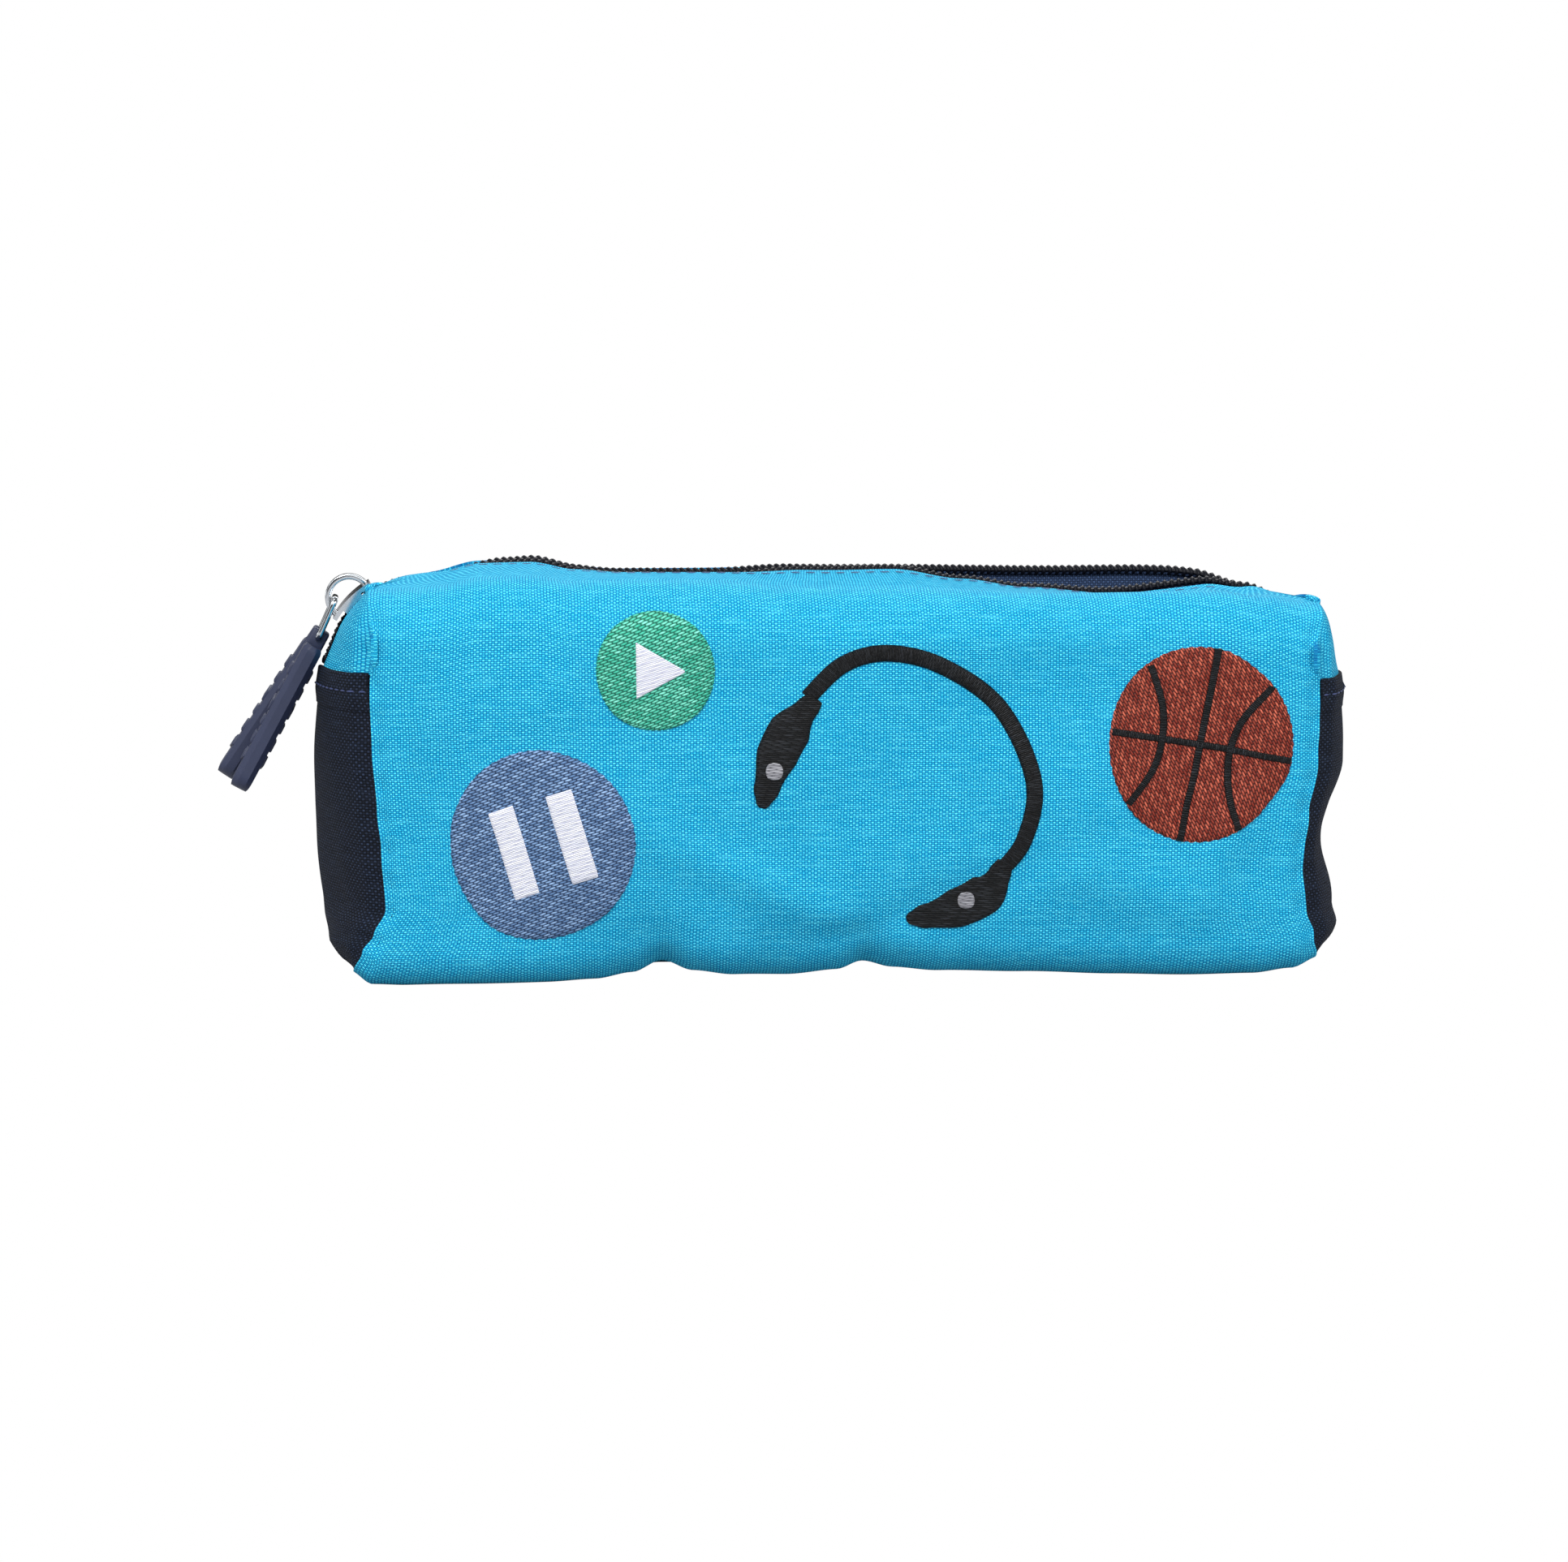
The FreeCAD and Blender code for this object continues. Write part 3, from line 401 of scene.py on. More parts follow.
def buildWeave():  # plain weave: which thread is on top, and how high it stands
    inputs = [("Vector", "Vector", None), ("Warp", "Float", 0.64), ("Weft", "Float", 0.43)]
    outputs = [("Height", "Float"), ("Over", "Float"), ("Slub", "Float"), ("Cell", "Float")]
    group, w = newGroup("plainWeave", inputs, outputs)
    split = w.node("SeparateXYZ", None, Vector=w.source.outputs["Vector"])
    wobble = w.grain(w.stretch(w.source.outputs["Vector"], (0.12, 0.12, 1)), 1.0, 3.0)
    shift = w.sum("MULTIPLY", w.sum("SUBTRACT", wobble, 0.5), 1.4)
    u = w.sum("ADD", w.sum("DIVIDE", split.outputs[0], w.source.outputs["Warp"]), shift)
    v = w.sum("ADD", w.sum("DIVIDE", split.outputs[1], w.source.outputs["Weft"]), shift)
    uCell, vCell = w.sum("FLOOR", u), w.sum("FLOOR", v)
    parity = w.sum("MODULO", w.sum("ABSOLUTE", w.sum("ADD", uCell, vCell)), 2.0)
    roundU = w.sum("ABSOLUTE", w.sum("SINE", w.sum("MULTIPLY", u, math.pi)))
    roundV = w.sum("ABSOLUTE", w.sum("SINE", w.sum("MULTIPLY", v, math.pi)))
    high = w.sum("MULTIPLY", w.sum("POWER", roundU, 0.6), w.sum("POWER", roundV, 0.7))
    level = w.sum("ADD", 0.55, w.sum("MULTIPLY", parity, 0.45))
    w.feed(w.sink.inputs["Height"], w.sum("MULTIPLY", high, level))
    w.feed(w.sink.inputs["Over"], parity)
    slub = w.grain(w.stretch(w.source.outputs["Vector"], (0.11, 2.6, 1)), 1.0, 2.0, 0.6)
    w.feed(w.sink.inputs["Slub"], slub)
    spot = w.node("TexWhiteNoise", {"noise_dimensions": "2D"},
                  Vector=w.node("CombineXYZ", None, X=uCell, Y=vCell).outputs[0])
    w.feed(w.sink.inputs["Cell"], spot.outputs["Value"])
    return group


def buildSatin():  # embroidery: rows of laid threads with staggered needle points
    inputs = [("Vector", "Vector", None), ("Thread", "Float", 0.4), ("Stitch", "Float", 3.4)]
    group, w = newGroup("satinThread", inputs, [("Height", "Float"), ("Strand", "Float")])
    split = w.node("SeparateXYZ", None, Vector=w.source.outputs["Vector"])
    wobble = w.grain(w.source.outputs["Vector"], 0.5, 2.0)
    v = w.sum("ADD", w.sum("DIVIDE", split.outputs[1], w.source.outputs["Thread"]),
              w.sum("MULTIPLY", wobble, 0.5))
    row = w.sum("FLOOR", v)
    spot = w.node("TexWhiteNoise", {"noise_dimensions": "1D"}, W=row)
    u = w.sum("ADD", w.sum("DIVIDE", split.outputs[0], w.source.outputs["Stitch"]),
              w.sum("ADD", w.sum("MULTIPLY", row, 0.42), w.sum("MULTIPLY", spot.outputs["Value"], 0.12)))
    strand = w.sum("ABSOLUTE", w.sum("SINE", w.sum("MULTIPLY", v, math.pi)))
    along = w.sum("ABSOLUTE", w.sum("SINE", w.sum("MULTIPLY", u, math.pi)))
    rise = w.sum("POWER", along, 0.6)
    w.feed(w.sink.inputs["Height"], w.sum("MULTIPLY", w.sum("POWER", strand, 0.6), rise))
    stitch = w.node("TexWhiteNoise", {"noise_dimensions": "2D"},
                    Vector=w.node("CombineXYZ", None, X=w.sum("FLOOR", u), Y=row).outputs[0])
    w.feed(w.sink.inputs["Strand"], stitch.outputs["Value"])
    return group


weaveGroup = buildWeave()
satinGroup = buildSatin()


def startMaterial(name):
    material = bpy.data.materials.new(name)
    material.use_nodes = True
    material.node_tree.nodes.clear()
    w = Wires(material.node_tree)
    shader = w.node("BsdfPrincipled")
    w.tree.links.new(shader.outputs[0], w.node("OutputMaterial").inputs[0])
    return material, w, shader


def tint(red, green, blue):  # a colour as it is read off a screen
    def linear(value):
        value /= 255
        return value / 12.92 if value <= 0.04045 else ((value + 0.055) / 1.055) ** 2.4
    return (linear(red), linear(green), linear(blue), 1)


def placeGroup(w, tree, vector, **values):
    made = w.tree.nodes.new("ShaderNodeGroup")
    made.node_tree = tree
    w.feed(made.inputs["Vector"], vector)
    for key, value in values.items():
        made.inputs[key].default_value = value
    return made


def bump(w, height, strength, distance):
    return w.node("Bump", None, Height=height, Strength=strength, Distance=distance).outputs[0]


def canvasMaterial(name, deep, body, light, warp=0.64, weft=0.43, slubGain=0.26, gleam=1.0):
    material, w, shader = startMaterial(name)
    weave = placeGroup(w, weaveGroup, w.node("UVMap").outputs[0], Warp=warp, Weft=weft)
    height = weave.outputs["Height"]
    worn = w.grain(w.node("TexCoord").outputs["Object"], 60.0, 4.0)
    # painted shade: the cloth darkens to the deep colour in the low gaps between the threads
    colour = w.blend(w.remap(height, 0.12, 0.8), deep, body)
    # painted highlight: the raised thread tops are brightened towards the light colour, more where a thread
    # lies over, varied at random cell by cell and scaled by gleam
    lighter = w.sum("MULTIPLY", w.sum("POWER", height, 2.2),
                    w.sum("ADD", 0.18, w.sum("MULTIPLY", weave.outputs["Over"], 0.5)))
    topHighlight = w.sum("MULTIPLY", lighter, w.sum("ADD", 0.5, weave.outputs["Cell"]))
    colour = w.blend(w.sum("MULTIPLY", topHighlight, gleam, clamp=True), colour, light)
    streak = w.remap(weave.outputs["Slub"], 0.5, 0.72)
    colour = w.blend(w.sum("MULTIPLY", streak, slubGain), colour, light)
    tone = w.remap(worn, 0.0, 1.0, 0.93, 1.05)
    grey = w.node("CombineColor", None, Red=tone, Green=tone, Blue=tone)
    w.feed(shader.inputs["Base Color"], w.blend(1.0, colour, grey.outputs[0], "MULTIPLY"))
    w.feed(shader.inputs["Roughness"], w.sum("SUBTRACT", 0.86, w.sum("MULTIPLY", height, 0.22)))
    shader.inputs["Specular IOR Level"].default_value = 0.12
    w.feed(shader.inputs["Normal"], bump(w, height, 0.75, 0.00022))
    return material


def threadMaterial(name, gapShade, body, light, thread=0.4, stitch=3.4, turn=0.0):
    material, w, shader = startMaterial(name)
    uv = w.stretch(w.node("UVMap").outputs[0], (1, 1, 1), (0, 0, turn))
    satin = placeGroup(w, satinGroup, uv, Thread=thread, Stitch=stitch)
    height = satin.outputs["Height"]
    # painted shade: the thread colour falls to its darkest at the needle holes and in the dips between rows
    colour = w.blend(w.sum("POWER", height, 1.3), gapShade, body)
    # painted highlight: a glint on the high middles of the stitches, varied stitch by stitch
    shine = w.sum("MULTIPLY", w.sum("POWER", height, 2.0), w.sum("POWER", satin.outputs["Strand"], 1.6))
    colour = w.blend(shine, colour, light)
    w.feed(shader.inputs["Base Color"], colour)
    w.feed(shader.inputs["Roughness"], w.sum("SUBTRACT", 0.62, w.sum("MULTIPLY", height, 0.25)))
    shader.inputs["Specular IOR Level"].default_value = 0.2
    w.feed(shader.inputs["Normal"], bump(w, height, 0.85, 0.00025))
    return material


def plainMaterial(name, colour, rough, metallic=0.0, grainScale=900.0, grainDepth=0.00003, spread=0.06,
                  shine=0.5):
    material, w, shader = startMaterial(name)
    place = w.node("TexCoord").outputs["Object"]
    grain = w.grain(place, grainScale, 3.0, 0.6)
    broad = w.grain(place, 120.0, 3.0, 0.55)
    darker = tuple(value * (1 - spread * 3) for value in colour[:3]) + (1,)
    lighter = tuple(min(1, value * (1 + spread * 3)) for value in colour[:3]) + (1,)
    w.feed(shader.inputs["Base Color"], w.blend(broad, darker, lighter))
    w.feed(shader.inputs["Roughness"], w.sum("ADD", rough - spread, w.sum("MULTIPLY", grain, spread * 2)))
    shader.inputs["Metallic"].default_value = metallic
    shader.inputs["Specular IOR Level"].default_value = shine
    w.feed(shader.inputs["Normal"], bump(w, grain, 0.5, grainDepth))
    return material


finishes = {  # cloths and threads are given as their dark, middle and light colours; the dark one is painted shade in the gaps between threads, the light one a painted highlight on the raised threads and, on cloth, also the colour of the pale slubs
    "blue_canvas": canvasMaterial("blueCanvas", tint(0, 96, 152), tint(2, 184, 226), tint(96, 228, 250),
                                  gleam=1.5),
    "navy_canvas": canvasMaterial("navyCanvas", tint(6, 9, 16), tint(20, 26, 38), tint(50, 63, 88),
                                  0.8, 0.6, 0.2),
    "lining_cloth": canvasMaterial("liningCloth", tint(24, 33, 52), tint(40, 54, 82), tint(66, 84, 122),
                                   0.35, 0.35, 0.2),
    "zip_tape": canvasMaterial("zipTape", tint(24, 36, 58), tint(44, 62, 94), tint(72, 94, 132),
                               0.7, 0.5, 0.1),
    "zip_coil": plainMaterial("coilNylon", tint(10, 13, 22), 0.45, spread=0.05, shine=0.16),
    "chrome": plainMaterial("platedZinc", (0.6, 0.63, 0.66, 1), 0.12, 1.0, 400.0, 0.00001, spread=0.04),
    "grip_rubber": plainMaterial("gripRubber", tint(33, 41, 68), 0.58, grainScale=1500.0, spread=0.05),
    "thread_slate": threadMaterial("slateThread", tint(14, 26, 54), tint(90, 125, 170), tint(150, 182, 222),
                                   0.52, 1.7, math.radians(-18)),
    "thread_white": threadMaterial("whiteThread", tint(176, 178, 196), tint(226, 228, 238),
                                   tint(255, 255, 255), 0.36, 9.0, math.radians(-17)),
    "thread_green": threadMaterial("greenThread", tint(4, 62, 48), tint(56, 182, 152), tint(134, 228, 204),
                                   0.52, 1.7, math.radians(-22)),
    "thread_black": threadMaterial("blackThread", tint(2, 3, 4), tint(7, 8, 10), tint(44, 47, 52), 0.42, 2.6),
    "thread_grey": threadMaterial("greyThread", tint(92, 92, 98), tint(140, 140, 146), tint(190, 190, 196),
                                  0.34, 3.0),
    "thread_rust": threadMaterial("rustThread", tint(34, 6, 4), tint(128, 42, 28), tint(206, 104, 80),
                                  0.5, 1.6, math.radians(62)),
    "thread_navy": plainMaterial("sewingThread", tint(48, 60, 102), 0.6, grainScale=2500.0,
                                 grainDepth=0.00005),
}


def finish(piece, slot, body, *nodes):
    piece.data.materials.clear()
    piece.data.materials.append(finishes[slot])
    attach(piece, body)
    if nodes:
        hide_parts(*nodes)
    return piece


print("materials ready")


# canvas panels
def frontSheet(name, side):
    def place(u, v):
        reach = v * crossLength
        return panelPoint((u * 2 - 1) * seamLength(reach) * side, reach, side)

    def cloth(u, v):
        return (u * 2 - 1) * case["halfLength"], v * crossLength

    return sheetMesh(name, 220, 130, place, cloth)


flap = {"swell": 1.3, "clothWidth": 17, "clothHeight": 28}


def flapSheet(name, end, side):
    # a four-sided patch between the zip, the hem, the corner seam and the fold to the top
    def zipSide(q):
        x, z = zipProfile(q * turnRun)
        return Vector((end * x, side * case["zipHalf"], z))

    def seamSide(q):
        reach = mix(wallReach(case["hemTop"]), cornerReach, q)
        return panelPoint(end * case["halfLength"], reach, side)

    def hemSide(p):
        y = mix(case["zipHalf"], case["halfDepth"], p)
        return Vector((end * endReach(y, case["hemTop"], end), side * y, case["hemTop"]))

    def foldSide(p):
        reach = p * cornerReach
        return panelPoint(end * seamLength(reach), reach, side)

    corners = (zipSide(0), hemSide(1), zipSide(1), foldSide(1))

    def place(u, v):
        p, q = (u, v) if end * side > 0 else (1 - u, v)
        across = zipSide(q).lerp(seamSide(q), p)
        upright = hemSide(p).lerp(foldSide(p), q)
        plain = corners[0].lerp(corners[1], p).lerp(corners[2].lerp(corners[3], p), q)
        swell = flap["swell"] * math.sin(p * math.pi) * math.sin(q * math.pi)
        return across + upright - plain + Vector((end * swell, 0, swell * 0.5))

    def cloth(u, v):
        return u * flap["clothWidth"], v * flap["clothHeight"]

    return sheetMesh(name, 34, 36, place, cloth)


endLines = {  # how far the middle of each end stands out, by height, left and right
    -1: [(0, 101), (3, 105.4), (8, 108.8), (14, 110.4), (24, 111.7), (36, 112), (48, 112), (60, 111),
         (67, 110)],
    1: [(0, 101.5), (2, 105.6), (6, 108.9), (12, 110.2), (19, 110.2), (31, 107.6), (40, 110), (50, 110.3),
        (60, 109.4), (67, 108.6)],
}


def endReach(y, z, end):
    middle = trace(endLines[end], z)
    share = 1 - abs(y / case["halfDepth"]) ** 2.3
    return mix(min(case["halfLength"], middle), middle, max(0, share))


def endSheet(name, end, lowZ, highZ, outs=(0.0, 0.0), rows=60, columns=60):
    def place(u, v):
        out = mix(*outs, smooth(0, 0.5, v))
        z = mix(lowZ, highZ, v)
        roll = case["lowerRoll"]
        lift = max(0, roll - z) / roll
        half = case["halfDepth"] - roll * (1 - math.sqrt(max(0, 1 - lift * lift)))
        y = (u * 2 - 1) * half * end
        bend = y / half * case["halfDepth"]
        return Vector((end * (endReach(bend, z, end) + out), y, z))

    def cloth(u, v):
        return (u * 2 - 1) * 36, mix(lowZ, highZ, v)  # half the flat width of an end

    return sheetMesh(name, columns, rows, place, cloth)


for side, name in ((-1, "front_panel"), (1, "back_panel")):
    parts = [frontSheet(name, side)] + [flapSheet(name + "Flap", end, side) for end in (-1, 1)]
    panel = join(name + "Canvas", parts)
    thicken(panel, case["canvasThick"])
    smoothFaces(panel)
    finish(panel, "blue_canvas", "case", name)

hems = {"turned": 8.0, "thick": 0.9, "outs": (0.1, 0.7), "edge": 0.3, "stitchDrop": 3.6, "stitchOut": 0.8,
        "stitchPitch": 2.8, "stitchEachSide": 11, "stitchSize": (2.1, 0.42)}
for end, name in ((-1, "left_end_panel"), (1, "right_end_panel")):
    lower = endSheet(name, end, 0, case["hemTop"] - 0.4, (-0.15, -0.15))
    thicken(lower, case["canvasThick"])
    hem = endSheet(name + "Hem", end, case["hemTop"] - hems["turned"], case["hemTop"] + 0.3, hems["outs"], 14)
    thicken(hem, hems["thick"])
    modify(hem, "BEVEL", width=hems["edge"] * mm, segments=2, limit_method="ANGLE")
    panel = join(name + "Canvas", [lower, hem])
    smoothFaces(panel)
    finish(panel, "navy_canvas", "case", name)


bottom = {"halfLength": 99.4, "halfDepth": 24.2, "lift": 0.45, "wave": 0.3, "thick": 0.6}


def basePlace(u, v):
    height = bottom["lift"] - bottom["wave"] * math.cos(u * math.pi * 8) * math.sin(v * math.pi)
    return Vector(((u * 2 - 1) * bottom["halfLength"], (v * 2 - 1) * bottom["halfDepth"], height))


base = sheetMesh("baseCanvas", 80, 24, basePlace, lambda u, v: (u * 200, v * 48))
thicken(base, bottom["thick"], 1.0)
smoothFaces(base)
finish(base, "blue_canvas", "case", "base_panel")
print("canvas panels ready")

# lining, seen through the open mouth
lining = {"thick": 0.3, "inside": 1.9, "topStart": 0.45, "endGap": 1.5}


def liningSheet(name, side):
    start = cornerReach * lining["topStart"]

    def place(u, v):
        reach = mix(start, crossLength, v)
        length = seamLength(reach) - lining["endGap"]
        return panelPoint((u * 2 - 1) * length * side, reach, side, -lining["inside"])

    return sheetMesh(name, 110, 70, place, lambda u, v: (u * 200, mix(start, crossLength, v)))


def liningBase(u, v):
    return Vector(((u * 2 - 1) * 98, (v * 2 - 1) * 26, 1.7))


linings = {"lining_front": liningSheet("lining_frontCloth", -1),
           "lining_back": liningSheet("lining_backCloth", 1)}
for end, name in ((-1, "lining_left"), (1, "lining_right")):
    linings[name] = endSheet(name + "Cloth", end, 2, case["hemTop"] - 1, (-2.0, -2.0), 40, 40)
linings["lining_base"] = sheetMesh("lining_baseCloth", 40, 14, liningBase, lambda u, v: (u * 198, v * 50))
for name, sheet in linings.items():
    thicken(sheet, lining["thick"])
    if name != "lining_base":
        smoothFaces(sheet)
    finish(sheet, "lining_cloth", "case", name)


def tubeMesh(name, steps, sides, place, closed=False):
    deselect()
    bpy.ops.mesh.primitive_grid_add(x_subdivisions=steps, y_subdivisions=sides, size=2)
    piece = bpy.context.object
    piece.name = piece.data.name = name
    for vertex in piece.data.vertices:
        u, v = vertex.co.x / 2 + 0.5, vertex.co.y / 2 + 0.5
        vertex.co = place(u, v * math.tau) * mm
    activate(piece)
    bpy.ops.object.mode_set(mode="EDIT")
    bpy.ops.mesh.select_all(action="SELECT")
    bpy.ops.mesh.remove_doubles(threshold=0.00001)
    if not closed:
        bpy.ops.mesh.select_all(action="DESELECT")
        bpy.ops.mesh.select_non_manifold()
        bpy.ops.mesh.edge_face_add()
    bpy.ops.mesh.select_all(action="SELECT")
    bpy.ops.mesh.normals_make_consistent(inside=False)
    bpy.ops.object.mode_set(mode="OBJECT")
    return piece


# zip tapes, coils, stops and their stitches
zipper = {
    "coilAcross": 2.7, "closedAcross": 0.95, "coilOut": 0.1, "coilDepth": 0.75, "pitch": 1.5, "toothLean": 18,
    "toothRadius": 0.92, "wireRadius": 0.46, "coreWidth": 0.85, "coreHeight": 0.72,
    "tapeOuter": 13.5, "tapeThick": 0.4, "facing": 9.0,
    "stitchPitch": 3.2, "stitchRows": (1.6, 3.0), "stitchSize": (2.5, 0.4),
    "edgeAcross": 7.6, "edgeSize": (2.1, 0.36),
    "stopRun": 1.6, "stopSize": (1.6, 5.2, 2.2), "stopDepth": 0.7, "stopRound": 0.5,
}
sliderRun = turnRun - case["turnRadius"] * math.radians(45)  # where the slider stands


def coilAcross(run):  # the rows mesh below the slider and at the far stop
    opened = smooth(sliderRun - 4, sliderRun + 4, run)
    farEnd = 1 - smooth(zipLength - 16, zipLength - 4, run)
    return mix(zipper["closedAcross"], zipper["coilAcross"], opened * farEnd)


def tapeSheet(name, side):
    def place(u, v):
        run = mix(-3, zipLength + 3, u if side < 0 else 1 - u)
        across = mix(coilAcross(run) - 0.7, zipper["tapeOuter"], v)
        drop = 1.15 + 0.14 * max(0, across - case["zipHalf"])
        return zipPoint(run, across, side, drop)

    return sheetMesh(name, 200, 14, place, lambda u, v: (u * zipLength, v * 12))


def facingPoint(run, down, side, proud=0.0):  # the cloth turned in under the coil
    across = coilAcross(run) + 0.5 - 0.18 * down - proud
    return zipPoint(run, across, side, 1.3 + down)


def facingSheet(name, side):
    def place(u, v):
        run = mix(turnRun + 6, zipLength - turnRun - 2, u if side < 0 else 1 - u)
        return facingPoint(run, (1 - v) * zipper["facing"], side)

    return sheetMesh(name, 180, 8, place, lambda u, v: (u * zipLength, v * 9))


def coilPoint(run, side, rise=0.0):
    return settle(zipPoint(run, coilAcross(run) + zipper["coilOut"], side, zipper["coilDepth"] - rise))


def coreStrand(name, side):
    def place(u, angle):
        run = mix(1, zipLength - 1, u)
        return coilPoint(run, side) + Vector((0, zipper["coreWidth"] * math.cos(angle),
                                              zipper["coreHeight"] * math.sin(angle)))

    return tubeMesh(name, 300, 8, place)


def copyAlong(name, source, frames):
    copies = []
    for matrix in frames:
        mesh = source.data.copy()
        mesh.transform(matrix)
        copy = bpy.data.objects.new(name, mesh)
        bpy.context.collection.objects.link(copy)
        copies.append(copy)
    bpy.data.objects.remove(source)
    joined = join(name, copies)
    activate(joined)
    bpy.ops.object.shade_smooth()
    return joined


def lieAlong(point, ahead, up):  # local X runs ahead, local Z points up
    forward = (ahead - point).normalized()
    sideways = up.cross(forward).normalized()
    above = forward.cross(sideways)
    turn = Matrix((forward, sideways, above)).transposed().to_4x4()
    return Matrix.Translation(point * mm) @ turn


def toothRow(name, side):
    bpy.ops.mesh.primitive_torus_add(major_segments=12, minor_segments=5,
                                     major_radius=zipper["toothRadius"] * mm,
                                     minor_radius=zipper["wireRadius"] * mm)
    tooth = bpy.context.object
    tooth.data.transform(Matrix.Rotation(math.radians(90), 4, "Y"))
    tooth.data.transform(Matrix.Diagonal((1, 1.25, 0.85, 1)))
    tooth.data.transform(Matrix.Rotation(math.radians(zipper["toothLean"] * side), 4, "Z"))
    frames = []
    for number in range(int((zipLength - 4) / zipper["pitch"])):
        run = 2 + (number + (0.5 if side > 0 else 0)) * zipper["pitch"]
        here = coilPoint(run, side)
        frames.append(lieAlong(here, coilPoint(run + 0.5, side), coilPoint(run, side, 1) - here))
    return copyAlong(name, tooth, frames)


def stitchRow(name, places, length, width):  # places gives (point, ahead, up) for each stitch
    bpy.ops.mesh.primitive_uv_sphere_add(segments=8, ring_count=6, radius=0.5 * mm)
    stitch = bpy.context.object
    stitch.data.transform(Matrix.Diagonal((length, width, width * 0.7, 1)))
    return copyAlong(name, stitch, [lieAlong(*place) for place in places])


def facingStitches(side):
    places = []
    for number in range(int((zipLength - 2 * turnRun - 8) / zipper["stitchPitch"])):
        run = turnRun + 7 + number * zipper["stitchPitch"]
        for down in zipper["stitchRows"]:
            here, ahead = (settle(facingPoint(run + step, down, side, 0.05)) for step in (0, 0.6))
            places.append((here, ahead, Vector((0, -side, 0.1))))
    return places


def edgeStitches(side):
    places = []
    for number in range(int((zipLength - 2 * turnRun - 8) / zipper["stitchPitch"])):
        run = turnRun + 7 + number * zipper["stitchPitch"]
        here, ahead, above = (settle(zipPoint(run + step, zipper["edgeAcross"], side, depth))
                              for step, depth in ((0, 0.2), (0.6, 0.2), (0, -1)))
        places.append((here, ahead, above - here))
    return places


def hemStitches(end):
    height = case["hemTop"] - hems["stitchDrop"]
    places = []
    for number in range(-hems["stitchEachSide"], hems["stitchEachSide"] + 1):
        spots = []
        for shift in (0, 0.4):
            y = (number * hems["stitchPitch"] + shift) * end
            spots.append(settle(Vector((end * (endReach(y, height, end) + hems["stitchOut"]), y, height))))
        places.append((spots[0], spots[1], Vector((end, 0, 0))))
    return places


def zipStop(name, end):
    run = zipper["stopRun"] if end < 0 else zipLength - zipper["stopRun"]
    bpy.ops.mesh.primitive_cube_add(size=mm)
    stop = bpy.context.object
    stop.data.transform(Matrix.Diagonal((*zipper["stopSize"], 1)))
    here, ahead = (settle(zipPoint(run + step, 0, 1, zipper["stopDepth"])) for step in (0, 0.5))
    above = settle(zipPoint(run, 0, 1, zipper["stopDepth"] - 1)) - here
    stop.data.transform(lieAlong(here, ahead, above))
    stop.name = name
    modify(stop, "BEVEL", width=zipper["stopRound"] * mm, segments=3)
    smoothFaces(stop)
    return stop


for side, label in ((-1, "front"), (1, "back")):
    tape = tapeSheet("zipTape" + label.title(), side)
    faceOut(tape)
    tape = join("zipTape" + label.title(), [tape, facingSheet("facing", side)])
    thicken(tape, zipper["tapeThick"])
    smoothFaces(tape)
    finish(tape, "zip_tape", "case", "zip_tape_" + label)
    row = join("zipCoil" + label.title(), [toothRow("teeth", side), coreStrand("core", side)])
    finish(row, "zip_coil", "case", "zip_coil_" + label)
    rows = stitchRow("zipStitch" + label.title(), facingStitches(side), *zipper["stitchSize"])
    finish(rows, "thread_navy", "case", "zip_stitch_" + label)
    rows = stitchRow("edgeStitch" + label.title(), edgeStitches(side), *zipper["edgeSize"])
    finish(rows, "thread_slate", "case")

for end, label in ((-1, "left"), (1, "right")):
    finish(zipStop("zipStop" + label.title(), end), "zip_coil", "case", "zip_stop_" + label)
    rows = stitchRow("hemStitch" + label.title(), hemStitches(end), *hems["stitchSize"])
    finish(rows, "thread_navy", "case", "hem_stitch_" + label)
print("zip ready")


# embroidery, laid on the settled front wall
def motif(name, columns, rows, spot, thick=0.55, base=0.0, edge=5, cloth=None):
    def place(u, v):
        x, z = spot(u, v)
        rim = max(abs(u * 2 - 1) ** edge, abs(v * 2 - 1) ** edge)
        stand = base + thick * (1 - rim) ** 0.5 + 0.04 * ripple(x * 9, z * 9, 2.0, 1.0)
        if rim > 0.999:
            stand = base - 0.3
        return panelPoint(x, wallReach(z), -1, stand + 0.12)

    piece = sheetMesh(name, columns, rows, place, cloth or spot)
    smoothFaces(piece, 80)
    return piece


def discSpot(across, up, radius, tall, ragged=0.0):
    def spot(u, v):
        a, b = u * 2 - 1, v * 2 - 1
        x, z = a * math.sqrt(1 - b * b / 2), b * math.sqrt(1 - a * a / 2)
        reach = math.hypot(x, z)
        angle = math.atan2(z, x)
        wobble = 1 + ragged * reach ** 6 * math.sin(angle * 61)
        return across + x * radius * wobble, up + z * tall * wobble
    return spot


def curvePoint(points, t):  # a smooth line through its points
    place = min(len(points) - 1.0001, max(0, t * (len(points) - 1)))
    number = int(place)
    f = place - number
    p = [Vector(points[min(len(points) - 1, max(0, number + step))]) for step in (-1, 0, 1, 2)]
    return 0.5 * (2 * p[1] + (p[2] - p[0]) * f + (2 * p[0] - 5 * p[1] + 4 * p[2] - p[3]) * f ** 2
                  + (3 * p[1] - p[0] - 3 * p[2] + p[3]) * f ** 3)


def strapSpot(points, widths):  # widths are stops of the half width along the line
    def spot(u, v):
        here = curvePoint(points, u)
        along = (curvePoint(points, min(1, u + 0.01)) - curvePoint(points, max(0, u - 0.01))).normalized()
        return tuple(here + Vector((-along.y, along.x)) * (v * 2 - 1) * follow(widths, u))
    return spot


